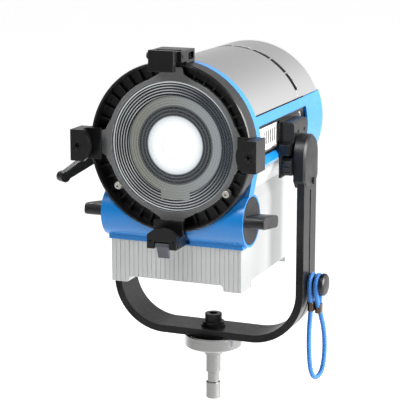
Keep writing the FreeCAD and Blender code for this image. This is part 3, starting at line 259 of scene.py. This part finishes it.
def brushed_black(name):
    """Black anodised bar, brushed along its length, its corners lighter: partly rubbed bare, partly a painted
    highlight.
    """
    finish = Finish(name, Specular_IOR_Level=0.24)
    lines = finish.noise(1.0, 4, (25, 900, 25))
    tone = finish.blend(finish.shape(lines, *COARSE), rgb(0.0015, 0.0015, 0.0015), rgb(0.016, 0.016, 0.017))
    patchy = finish.shape(finish.noise(90, 4), 0.35, 0.6, 0.3, 1)
    # corners lighter: partly rubbed wear, partly a painted highlight
    edge_wear_and_highlight_mask = finish.product(finish.edges(0.7), finish.product(patchy, 0.7))
    finish.colour(finish.blend(edge_wear_and_highlight_mask, tone, rgb(0.15, 0.15, 0.155)))
    finish.roughness(finish.shape(lines, *EVEN, 0.24, 0.40))
    finish.relief(lines, 0.02, 0.6, radius=0.6)
    return finish.material


def screen_glass():
    """Dark glossy window with faint wiping marks."""
    finish = Finish("screen_glass", Specular_IOR_Level=0.6, Coat_Weight=0.5)
    wipes = finish.shape(finish.noise(1.0, 4, (30, 60, 220)), 0.4, 0.8)
    finish.colour(finish.blend(wipes, rgb(0.006, 0.008, 0.012), rgb(0.012, 0.016, 0.022)))
    finish.roughness(finish.shape(wipes, 0, 1, 0.05, 0.16))
    return finish.material


SCALE_START = PLATE_FRONT + 24 * MM
SCALE_LENGTH = 38.5 * MM
SCALE_PITCH = 6.5 * MM
SCALE_REACH = 7.0 * MM
SCALE_BLUR = 0.2 * MM


def side_scale():
    """Pale metal plate with a printed scale of dark bars towards its front, for setting the balance."""
    finish = Finish("side_scale", Metallic=0.2)
    marks = finish.noise(1.0, 4, (1500, 12, 60))
    metal = finish.blend(finish.shape(marks, *EVEN), rgb(0.77, 0.77, 0.77), rgb(0.86, 0.86, 0.86))
    along = finish.math("SUBTRACT", finish.axis("Y"), SCALE_START)
    height = finish.math("ABSOLUTE", finish.math("SUBTRACT", finish.axis("Z"), PLATES.z))
    bar = finish.shape(finish.math("SINE", finish.product(along, math.tau / SCALE_PITCH)), 0.0, 0.2)
    inside = finish.product(finish.shape(along, 0, SCALE_BLUR),
                            finish.shape(along, SCALE_LENGTH, SCALE_LENGTH - SCALE_BLUR))
    tall = finish.shape(height, SCALE_REACH, SCALE_REACH - SCALE_BLUR)
    printed = finish.product(bar, finish.product(inside, tall))
    finish.colour(finish.blend(printed, metal, rgb(0.006, 0.006, 0.006)))
    finish.roughness(finish.shape(marks, *EVEN, 0.27, 0.42))
    finish.relief(finish.math("SUBTRACT", marks, printed), 0.02, 0.5, radius=0.3)
    return finish.material


def emitter_board():
    """White solder mask behind yellow emitters that stand out of it."""
    finish = Finish("emitter_board", Roughness=0.35)
    chip = finish.shape(finish.axis("Y"), BOARD_FRONT + 0.9 * MM, BOARD_FRONT + 0.8 * MM)
    mask = finish.blend(finish.shape(finish.noise(300, 3), 0.4, 0.6), rgb(0.76, 0.77, 0.75),
                        rgb(0.84, 0.85, 0.83))
    finish.colour(finish.blend(chip, mask, rgb(0.85, 0.62, 0.10)))
    finish.relief(finish.cells(900), 0.03, 0.5, radius=0.2)
    return finish.material


BLACK = painted("black_paint", (0.0045, 0.0045, 0.005), (0.09, 0.09, 0.09), 0.30, edge_wear_and_highlight_amount=0.5, glare=0.38)
BLUE = painted("blue_paint", (0.006, 0.190, 0.55), (0.14, 0.45, 0.80), 0.30, edge_wear_and_highlight_amount=0.35,
               coat=0.35, glare=0.4)
SILVER = painted("silver_paint", (0.50, 0.505, 0.50), (0.80, 0.81, 0.82), 0.31,
                 metallic=0.97, grain=2600, edge_wear_and_highlight_amount=0.3, drift=0.98, patches=0.02)
BASE_SILVER = painted("base_silver", (0.60, 0.61, 0.605), (0.85, 0.86, 0.87), 0.36,
                      metallic=0.72, grain=2600, edge_wear_and_highlight_amount=0.3, drift=0.97, patches=0.03)
RETAINER = painted("retainer_grey", (0.135, 0.137, 0.14), (0.45, 0.45, 0.46), 0.40, peel=0.02, edge_wear_and_highlight_amount=1.2)
YOKE_BLACK = brushed_black("yoke_black")
PLASTIC = moulded("black_plastic", (0.0055, 0.0055, 0.006), 0.36, glare=0.40)
GREY = moulded("grey_plastic", (0.075, 0.080, 0.10), 0.36)
KNOB = moulded("knob_grey", (0.012, 0.012, 0.0135), 0.40, grain=1500, glare=0.4)
STEEL = machined("turned_steel", (0.36, 0.36, 0.355), 0.20, (12, 12, 1800))
BRIGHT = machined("polished_screws", (0.84, 0.82, 0.76), 0.16, (900, 900, 900))
OXIDE = machined("black_oxide", (0.022, 0.022, 0.023), 0.34, (300, 300, 1500), metallic=0.7)
ALUMINIUM = machined("bare_aluminium", (0.66, 0.67, 0.69), 0.34, (40, 1200, 40))
PLATE = side_scale()
BRASS = machined("brass_bush", (0.66, 0.47, 0.20), 0.28, (1200, 20, 20))
COPPER = machined("copper_crimp", (0.14, 0.10, 0.08), 0.24, (40, 40, 900))
RUBBER = moulded("belt_rubber", (0.012, 0.012, 0.012), 0.7, grain=900)
FROST = moulded("frosted_white", (0.80, 0.80, 0.78), 0.5, grain=2500, depth=0.02)
SOOT = moulded("baffle_black", (0.003, 0.003, 0.003), 0.7, grain=1200, glare=0.1)

# by material slot; the lens and the strap get their own finishes with their meshes
FINISHES = {
    "black_paint": BLACK, "blue_paint": BLUE, "silver_paint": SILVER, "retainer_grey": RETAINER,
    "black_metal": YOKE_BLACK, "black_plastic": PLASTIC, "grey_plastic": GREY, "knob_grey": KNOB,
    "polished_steel": STEEL, "dark_steel": OXIDE, "bare_aluminium": ALUMINIUM, "side_label": PLATE,
    "brass": BRASS, "strap_crimp": COPPER, "belt_rubber": RUBBER, "diffuser_plastic": FROST,
    "board": emitter_board(), "screen_glass": screen_glass(), "lens_glass": FROST, "strap_braid": BLUE,
}
SPECIAL = {"lower_housing": BASE_SILVER, "retainer_screws": BRIGHT, "vent_baffle": SOOT}
SLOTS = {entry["node"]: entry["material_slot"] for entry in frame["record"]["subparts"]}


def dress(item, material):
    item.data.materials.clear()
    item.data.materials.append(material)


for node, item in frame["nodes"].items():
    dress(item, SPECIAL.get(node, FINISHES[SLOTS[node]]))


def body_of(node):
    bodies = frame["record"]["behaviour"]["bodies"]
    return next(name for name, members in bodies.items() if node in members)


def place(name, mesh, material, body, slot, *replaced):
    """A new piece that rides on a body; its mesh is already in the part's frame."""
    item = bpy.data.objects.new(name, mesh)
    scene.collection.objects.link(item)
    dress(item, material)
    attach(item, body)
    if replaced:
        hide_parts(*replaced)
    return item


# ---- pieces with softened edges ------------------------------------------------------------------

# width of each piece's rounded edges, in millimetres
SOFT = {
    "accessory_bracket_right": 0.9, "accessory_bracket_left": 0.9, "accessory_bracket_bottom": 0.9,
    "top_latch": 0.8, "latch_base": 0.6, "lock_tab": 0.6, "pivot_bracket_right": 0.8,
    "pivot_bracket_left": 0.8, "slide_lock_knob": 0.5, "focus_knobs": 0.8, "tilt_lever": 1.4,
    "yoke_caps": 0.8, "yoke_bar": 0.9, "control_panel": 0.5, "strap_ferrules": 0.7,
}
WELD = 0.004 * MM
COPLANAR = math.radians(1.2)  # faces that meet at less are one face
SHARP = math.radians(33)      # edges that turn more are rounded
ROUNDING_STEPS = 3


def softened(node, width):
    """The node's own mesh with every sharp edge rounded, in its place."""
    source = frame["nodes"][node]
    mesh = bmesh.new()
    mesh.from_mesh(source.data)
    mesh.transform(source.matrix_world)
    bmesh.ops.remove_doubles(mesh, verts=mesh.verts, dist=WELD)
    bmesh.ops.dissolve_limit(mesh, angle_limit=COPLANAR, verts=mesh.verts, edges=mesh.edges)
    data = bpy.data.meshes.new(node + "_soft")
    mesh.to_mesh(data)
    mesh.free()
    for polygon in data.polygons:
        polygon.use_smooth = True
    data.set_sharp_from_angle(angle=SHARP)
    draft = bpy.data.objects.new("draft", data)
    scene.collection.objects.link(draft)
    bevel = draft.modifiers.new("round", "BEVEL")
    bevel.width = width * MM
    bevel.segments = ROUNDING_STEPS
    bevel.limit_method = "ANGLE"
    bevel.angle_limit = SHARP
    bevel.harden_normals = True
    ready = draft.evaluated_get(bpy.context.evaluated_depsgraph_get())
    finished = bpy.data.meshes.new_from_object(ready)
    bpy.data.objects.remove(draft)
    place(node + "_rounded", finished, source.data.materials[0], body_of(node), SLOTS[node], node)


for node, width in SOFT.items():
    softened(node, width)


# ---- black strips for the shade in the grooves between the silver covers and the blue frames -----

SEAM = math.radians(21.4)  # how far above the lens axis the grooves lie
SHADE_STRIP_WIDTH = 0.8 * MM
SHADE_STRIP_HEIGHT = 1.4 * MM
SHADE_STRIP_SINK = 0.25 * MM


def add_seam_shade_strips():
    """A thin black strip along each groove, just proud of the covers, standing in for the groove's shade."""
    low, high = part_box("side_frames")
    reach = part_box("top_cover")[1].z - LENS.z - SHADE_STRIP_SINK
    mesh = bmesh.new()
    for side in (-1, 1):
        centre = Vector((side * reach * math.cos(SEAM), (low.y + high.y) / 2,
                         LENS.z + reach * math.sin(SEAM)))
        turn = Matrix.Rotation(-side * SEAM, 4, "Y")
        stretch = Matrix.Diagonal((SHADE_STRIP_WIDTH, high.y - low.y, SHADE_STRIP_HEIGHT, 1))
        bmesh.ops.create_cube(mesh, size=1, matrix=Matrix.Translation(centre) @ turn @ stretch)
    data = bpy.data.meshes.new("seam_shade_strip_mesh")
    mesh.to_mesh(data)
    mesh.free()
    place("seam_shade_strips", data, SOOT, body_of("side_frames"), "belt_rubber")


add_seam_shade_strips()


# ---- wrist strap ---------------------------------------------------------------------------------

# control points in millimetres: from one eye round the post, down to the loop, and back to the
# other eye; heights are from the post's axis
STRAP_ROUTE = [
    (109.6, 0.6, -28), (109.6, 0.6, -18.5), (109.6, 9.4, -5.4), (109.6, 9.4, 5.4), (109.6, 0, 10.85),
    (109.6, -9.4, 5.4), (109.6, -9.4, -5.4), (109.6, -4.6, -18.5), (109.8, -4.8, -30),
    (109.5, -9, -50), (110.5, -10.5, -76), (112, -7, -96), (115, 1.5, -103), (118.5, 10.5, -97),
    (120, 14.5, -78), (119.5, 12.5, -52), (116.6, 5.4, -31),
    (116.4, 4.6, -21.5), (116.4, 9.4, -5.4), (116.4, 9.4, 5.4), (116.4, 0, 10.85),
    (116.4, -9.4, 5.4), (116.4, -9.4, -5.4), (116.4, -0.6, -21.5), (116.4, -0.6, -30.5)]
CURVE_STEPS = 24
CORD_RADIUS = 2.5 * MM
RING_STEP = 0.6 * MM
RING_POINTS = 48
STRANDS = 4         # strands that turn each way
LAY = 12 * MM       # length in which a strand goes round once
VALLEY = 0.88       # radius between strands, as a share of the cord's
RISE = 0.16         # how much further out the crossings lie


def strap_line():
    """The strap's centreline: a smooth curve that the route's points control."""
    curve = bpy.data.curves.new("strap_line", "CURVE")
    curve.dimensions = "3D"
    curve.resolution_u = CURVE_STEPS
    spline = curve.splines.new("NURBS")
    spline.points.add(len(STRAP_ROUTE) - 1)
    for point, (x, y, z) in zip(spline.points, STRAP_ROUTE):
        point.co = (x * MM, y * MM, POST.z + z * MM, 1)
    spline.order_u = 3
    spline.use_endpoint_u = True
    line = bpy.data.objects.new("strap_line", curve)
    mesh = bpy.data.meshes.new_from_object(line)
    points = [vertex.co.copy() for vertex in mesh.vertices]
    bpy.data.objects.remove(line)
    return points


def evenly(points, step):
    """The same line with points a step apart."""
    kept = [points[0]]
    left = step
    for start, end in zip(points, points[1:]):
        span = (end - start).length
        gone = 0.0
        while span - gone >= left:
            gone += left
            kept.append(start.lerp(end, gone / span))
            left = step
        left -= span - gone
    kept.append(points[-1])
    return kept


def braided_tube(points, radius):
    """A tube round the points whose skin is a braid: strands cross over and under each other."""
    mesh = bmesh.new()
    strand = mesh.verts.layers.float.new("strand")
    side = Vector((1, 0, 0))
    rings = []
    travelled = 0.0
    for index, point in enumerate(points):
        ahead = points[min(index + 1, len(points) - 1)]
        behind = points[max(index - 1, 0)]
        along = (ahead - behind).normalized()
        side = (side - along * side.dot(along)).normalized()
        other = along.cross(side)
        if index:
            travelled += (point - points[index - 1]).length
        ring = []
        for step in range(RING_POINTS):
            turn = math.tau * step / RING_POINTS
            twist = math.tau * travelled / LAY
            left = math.cos(STRANDS / 2 * (turn + twist))
            right = math.cos(STRANDS / 2 * (turn - twist))
            rise = max(abs(left), abs(right)) ** 0.5 * 0.6 + 0.4 * abs(left * right)
            reach = radius * (VALLEY + RISE * rise)
            vertex = mesh.verts.new(point + (side * math.cos(turn) + other * math.sin(turn)) * reach)
            # the strand's height is kept for the painted shade between strands
            vertex[strand] = rise
            ring.append(vertex)
        rings.append(ring)
    for first, second in zip(rings, rings[1:]):
        for step in range(RING_POINTS):
            following = (step + 1) % RING_POINTS
            mesh.faces.new((first[step], first[following], second[following], second[step]))
    mesh.faces.new(list(reversed(rings[0])))
    mesh.faces.new(rings[-1])
    for face in mesh.faces:
        face.smooth = len(face.verts) == 4
    data = bpy.data.meshes.new("strap")
    mesh.to_mesh(data)
    mesh.free()
    return data


def braid_finish():
    """Blue yarn with painted shade in the gaps between strands, pale on loose fibres."""
    finish = Finish("strap_braid", Sheen_Weight=0.35, Sheen_Roughness=0.4)
    strand = finish.node("Attribute", attribute_name="strand").outputs["Fac"]
    # painted shade: dark where the strands sink into the gaps, full blue on their crowns
    lit = finish.shape(strand, 0.45, 0.9)
    tone = finish.blend(lit, rgb(0.001, 0.012, 0.08), rgb(0.014, 0.20, 0.66))
    fibres = finish.noise(2600, 2, (1, 1, 0.4))
    finish.colour(finish.blend(finish.shape(fibres, 0.4, 0.75, 0, 0.5), tone, rgb(0.06, 0.34, 0.86)))
    finish.roughness(finish.shape(fibres, *EVEN, 0.5, 0.7))
    finish.relief(fibres, 0.05, 0.7)
    return finish.material


def add_strap():
    points = evenly(strap_line(), RING_STEP)
    mesh = braided_tube(points, CORD_RADIUS)
    strap = place("wrist_strap", mesh, braid_finish(), "yoke", "strap_braid", "strap_cord")


add_strap()


# ---- lens ----------------------------------------------------------------------------------------

LENS_SEGMENTS = 192
PICTURE_SEGMENTS = 128
CREASE = math.radians(25)


def lathe(outline, segments, centre):
    """A solid turned about the lens axis from (radius, y) points that start and end on the axis."""
    mesh = bmesh.new()
    rings = []
    for radius, y in outline:
        if radius == 0:
            rings.append([mesh.verts.new((centre.x, y, centre.z))])
            continue
        rings.append([mesh.verts.new((centre.x + radius * math.cos(math.tau * step / segments), y,
                                      centre.z + radius * math.sin(math.tau * step / segments)))
                      for step in range(segments)])
    for first, second in zip(rings, rings[1:]):
        for step in range(segments):
            following = (step + 1) % segments
            if len(first) == 1:
                mesh.faces.new((first[0], second[step], second[following]))
            elif len(second) == 1:
                mesh.faces.new((first[step], second[0], first[following]))
            else:
                mesh.faces.new((first[step], second[step], second[following], first[following]))
    bmesh.ops.recalc_face_normals(mesh, faces=mesh.faces)
    data = bpy.data.meshes.new("turned")
    mesh.to_mesh(data)
    mesh.free()
    data.set_sharp_from_angle(angle=CREASE)
    for polygon in data.polygons:
        polygon.use_smooth = True
    return data


GROOVE_MM = 2.7
PITCH = GROOVE_MM * MM
DOME = 12.0 * MM    # radius of the smooth middle
DOME_STEPS = 6
CLEAR = 65.2 * MM   # radius where the steps end
RISER = 0.03 * MM   # width of the short wall between two steps
FIRST_RISE = 0.03   # rise of the innermost step, as a share of the pitch
MORE_RISE = 0.035   # what the outermost step has on top of that
LENS_EDGE = 0.6 * MM


def lens_outline():
    """Stepped front: a low dome, then rings whose faces grow steeper outwards; the back is flat."""
    top = LENS_FRONT + LENS_EDGE / 2
    outline = [(0.0, top)]
    for step in range(1, DOME_STEPS + 1):
        outline.append((DOME * step / DOME_STEPS, top + LENS_EDGE / 2 * (step / DOME_STEPS) ** 2))
    edge = DOME
    while edge + PITCH < CLEAR:
        outline.append((edge + RISER, top))
        edge += PITCH
        outline.append((edge, top + (FIRST_RISE + MORE_RISE * edge / CLEAR) * PITCH))
    outline.append((CLEAR, LENS_FRONT + LENS_EDGE))
    outline.append((LENS_RADIUS, LENS_FRONT + LENS_EDGE))
    outline.append((LENS_RADIUS, LENS_BACK - LENS_EDGE))
    outline.append((0.0, LENS_BACK - LENS_EDGE))
    return outline


def lens_finish():
    """Clear glass with a faint green cast and hardly any glare."""
    finish = Finish("lens_glass", Transmission_Weight=1.0, IOR=1.47, Base_Color=rgb(0.95, 0.975, 0.97),
                    Specular_Tint=rgb(0.15, 0.15, 0.15))
    finish.roughness(finish.shape(finish.noise(45, 4), *COARSE, 0.0, 0.02))
    return finish.material


# the painted picture behind the lens, which glows: light and shade standing in for what is seen
# through the glass; radii in millimetres, each pair from nothing to full or from the inner to the
# outer edge
SOURCE_EDGE = (29.6, 27.8)
GLOW_EDGE = (29, 22)
THROAT_EDGE = (40.5, 39.0)
CONE = (39.2, 48.2)
BARREL = (49.5, 67)
RIM_HIGHLIGHT = (62.6, 63.4)
# the tab below the cone: half its width, and how far down it reaches
TAB_SIDE = (15.5, 14.8)
TAB_DOWN = (41, 54)
THROAT_RING_MM = 3.4
BEADS = 120
GROOVE_SHIFT = 2.4 * MM  # how far the barrel's rings lie off the lens's centre


def painted_lens_view_finish():
    """Painted light and shade of what the lens shows, glowing with light of its own:
    the lit source, the dark throat, the pale cone and the dark barrel, in rings.
    """
    finish = Finish("painted_lens_view", Roughness=0.5, Specular_IOR_Level=0.1)
    both = finish.product

    def flat_from(x, z):
        inputs = {"Vector": finish.spot, "Location": (-x, 0, -z), "Scale": (1, 0, 1)}
        return finish.node("Mapping", inputs).outputs["Vector"]

    def length_of(vector):
        return finish.node("VectorMath", {0: vector}, operation="LENGTH").outputs["Value"]

    flat = flat_from(LENS.x, LENS.z)
    shifted = flat_from(LENS.x - GROOVE_SHIFT, LENS.z - GROOVE_SHIFT / 2)
    x, z = finish.axis("X", flat), finish.axis("Z", flat)
    radius = length_of(flat)
    mm = both(radius, 1 / MM)
    groove_mm = both(length_of(shifted), 1 / MM)
    across = both(finish.math("ABSOLUTE", x), 1 / MM)
    down = both(z, -1 / MM)
    rightward = finish.math("DIVIDE", x, radius)
    upward = finish.math("DIVIDE", z, radius)
    turn = finish.math("ARCTAN2", z, x)

    def band(value, low, high, soft=1.0):
        """1 between two values, with soft ends."""
        return both(finish.shape(value, low - soft, low + soft),
                    finish.shape(value, high + soft, high - soft))

    def rings(pitch, sharp, start, distance=mm):
        """Bright rings at a pitch; the higher sharp is, the finer they are."""
        phase = both(finish.math("SUBTRACT", distance, start), math.tau / pitch)
        return finish.shape(finish.math("SINE", phase), sharp, 1.0)

    source = finish.shape(mm, *SOURCE_EDGE)
    tab = both(finish.shape(across, *TAB_SIDE), band(down, *TAB_DOWN, 0.5))
    pale = finish.math("MAXIMUM", band(mm, *CONE, 0.6), tab)
    beads = finish.shape(finish.math("SINE", both(turn, BEADS)), -1, 1)

    # the barrel: painted light and shade, fine bright lines on black, strong on the left and below,
    # faint on the right, and the black lighter towards the right
    sideways = finish.math("ADD", rightward, both(upward, 0.35))
    painted_barrel_falloff = finish.shape(sideways, 0.25, 0.85, 1.0, 0.10)
    painted_barrel_blacks = finish.blend(finish.shape(rightward, -0.5, 0.8), rgb(0.009, 0.010, 0.012),
                          rgb(0.028, 0.034, 0.044))
    lines = both(rings(GROOVE_MM, 0.1, 0.6, groove_mm), band(mm, *BARREL))
    lines = both(lines, finish.shape(finish.noise(18, 2), *EVEN, 0.45, 1.0))
    picture = finish.blend(both(lines, painted_barrel_falloff), painted_barrel_blacks, rgb(0.80, 0.81, 0.82))

    # the throat round the source: softer painted grey lines
    throat = finish.blend(rings(THROAT_RING_MM, -0.6, 0.2), rgb(0.034, 0.037, 0.041), rgb(0.105, 0.11, 0.115))
    picture = finish.blend(finish.shape(mm, *THROAT_EDGE), picture, throat)

    # the pale cone: painted light and shade, grey-green on the left, cooler on the right, with dark
    # rings that fade towards the right and fine beads
    painted_cone_light = finish.blend(finish.shape(rightward, -0.8, 0.8), rgb(0.235, 0.235, 0.205), rgb(0.30, 0.32, 0.33))
    grooves = both(rings(GROOVE_MM, 0.2, 0.4), finish.shape(rightward, 0.3, -0.7, 0.25, 0.75))
    grooved = finish.blend(grooves, painted_cone_light, rgb(0.10, 0.10, 0.095))
    beaded = finish.blend(both(beads, 0.12), grooved, rgb(0.42, 0.43, 0.42))
    picture = finish.blend(pale, picture, beaded)

    # the glass's own rim: a painted highlight, a bright hairline, except on the right
    rightmost = finish.math("SUBTRACT", rightward, both(upward, 0.8))
    rim = both(band(groove_mm, *RIM_HIGHLIGHT, 0.35), finish.shape(rightmost, 0.2, 0.9, 1.0, 0.15))
    picture = finish.blend(rim, picture, rgb(0.72, 0.74, 0.74))

    # the source: a painted glow, white, cooler towards its edge, faintly ringed, given off as light
    ripple = finish.shape(rings(GROOVE_MM, -1, 0.4), 0, 1, 0.92, 1.0)
    cooler = finish.blend(finish.shape(mm, *GLOW_EDGE), rgb(0.62, 0.66, 0.70), rgb(1, 1, 1))
    tone = finish.node("CombineColor", {0: ripple, 1: ripple, 2: ripple}).outputs["Color"]
    picture = finish.blend(source, picture, finish.blend(1.0, cooler, tone, "MULTIPLY"))
    finish.colour(finish.blend(0.04, rgb(0, 0, 0), picture))
    finish.link(picture, finish.shader.inputs["Emission Color"])
    finish.link(finish.shape(source, 0, 1, 1.0, 1.12), finish.shader.inputs["Emission Strength"])
    return finish.material


PICTURE_RADIUS = 66.5 * MM
PICTURE_DEPTH = (0.5 * MM, 0.1 * MM)


def add_lens():
    glass = lathe(lens_outline(), LENS_SEGMENTS, LENS)
    place("lens", glass, lens_finish(), "head", "lens_glass", "fresnel_lens")
    # behind the glass, a disc that glows with the painted picture of light and shade seen through the lens
    front, back = [LENS_BACK - depth for depth in PICTURE_DEPTH]
    outline = [(0.0, front), (PICTURE_RADIUS, front), (PICTURE_RADIUS, back), (0.0, back)]
    disc = lathe(outline, PICTURE_SEGMENTS, LENS)
    place("painted_lens_view_disc", disc, painted_lens_view_finish(), "head", "diffuser_plastic")


add_lens()


# ---- studio --------------------------------------------------------------------------------------

FLOOR_RADIUS = 40
FLOOR_SIDES = 96
FLOOR_DROP = 0.55
LIGHTS_TARGET = (0, 0, 0.2)


def floor_finish():
    """Pale paper that gives off light of its own, more behind the lamp than in front."""
    finish = Finish("pale_floor", Roughness=0.9, Emission_Color=rgb(1, 1, 1))
    glow = finish.shape(finish.axis("Y"), -0.3, 0.9, 0.12, 0.72)
    finish.link(glow, finish.shader.inputs["Emission Strength"])
    cloudy = finish.shape(finish.noise(3, 3), *EVEN)
    finish.colour(finish.blend(cloudy, rgb(0.89, 0.89, 0.89), rgb(0.91, 0.91, 0.91)))
    return finish.material


def add_floor():
    mesh = bmesh.new()
    bmesh.ops.create_circle(mesh, cap_ends=True, segments=FLOOR_SIDES, radius=FLOOR_RADIUS,
                            matrix=Matrix.Translation((0, 0, cad_box[0].z - FLOOR_DROP)))
    data = bpy.data.meshes.new("floor")
    mesh.to_mesh(data)
    mesh.free()
    floor = bpy.data.objects.new("floor", data)
    scene.collection.objects.link(floor)
    dress(floor, floor_finish())


def softbox(name, location, width, height, power):
    data = bpy.data.lights.new(name, "AREA")
    data.shape = "RECTANGLE"
    data.size = width
    data.size_y = height
    data.energy = power
    light = bpy.data.objects.new(name, data)
    scene.collection.objects.link(light)
    light.location = location
    aim(light, LIGHTS_TARGET)


def add_world():
    """Bright towards the back, the right and the horizon, darker overhead and in front."""
    world = bpy.data.worlds.new("studio")
    world.use_nodes = True
    scene.world = world
    nodes, links = world.node_tree.nodes, world.node_tree.links
    parts = nodes.new("ShaderNodeSeparateXYZ")
    links.new(nodes.new("ShaderNodeTexCoord").outputs["Generated"], parts.inputs[0])

    def fade(axis, low, high, to_low, to_high):
        node = nodes.new("ShaderNodeMapRange")
        links.new(parts.outputs[axis], node.inputs["Value"])
        for key, value in (("From Min", low), ("From Max", high), ("To Min", to_low), ("To Max", to_high)):
            node.inputs[key].default_value = value
        return node.outputs["Result"]

    def product(first, second):
        node = nodes.new("ShaderNodeMath")
        node.operation = "MULTIPLY"
        links.new(first, node.inputs[0])
        links.new(second, node.inputs[1])
        return node.outputs["Value"]

    depth = product(fade("Y", -0.8, 0.4, 0.14, 1.15), fade("Z", 0.25, 0.8, 1.0, 0.22))
    strength = product(depth, fade("X", -0.6, 0.5, 0.40, 1.2))
    back = nodes["Background"]
    back.inputs["Color"].default_value = rgb(1, 1, 1)
    links.new(strength, back.inputs["Strength"])


add_floor()
softbox("key", (1.7, 0.0, 0.7), 0.8, 1.2, 76)
softbox("front", (-0.4, -1.7, 2.6), 0.9, 0.9, 68)
softbox("rim", (-1.0, 0.9, 1.5), 0.6, 0.6, 14)
add_world()
scene.view_settings.view_transform = "Standard"
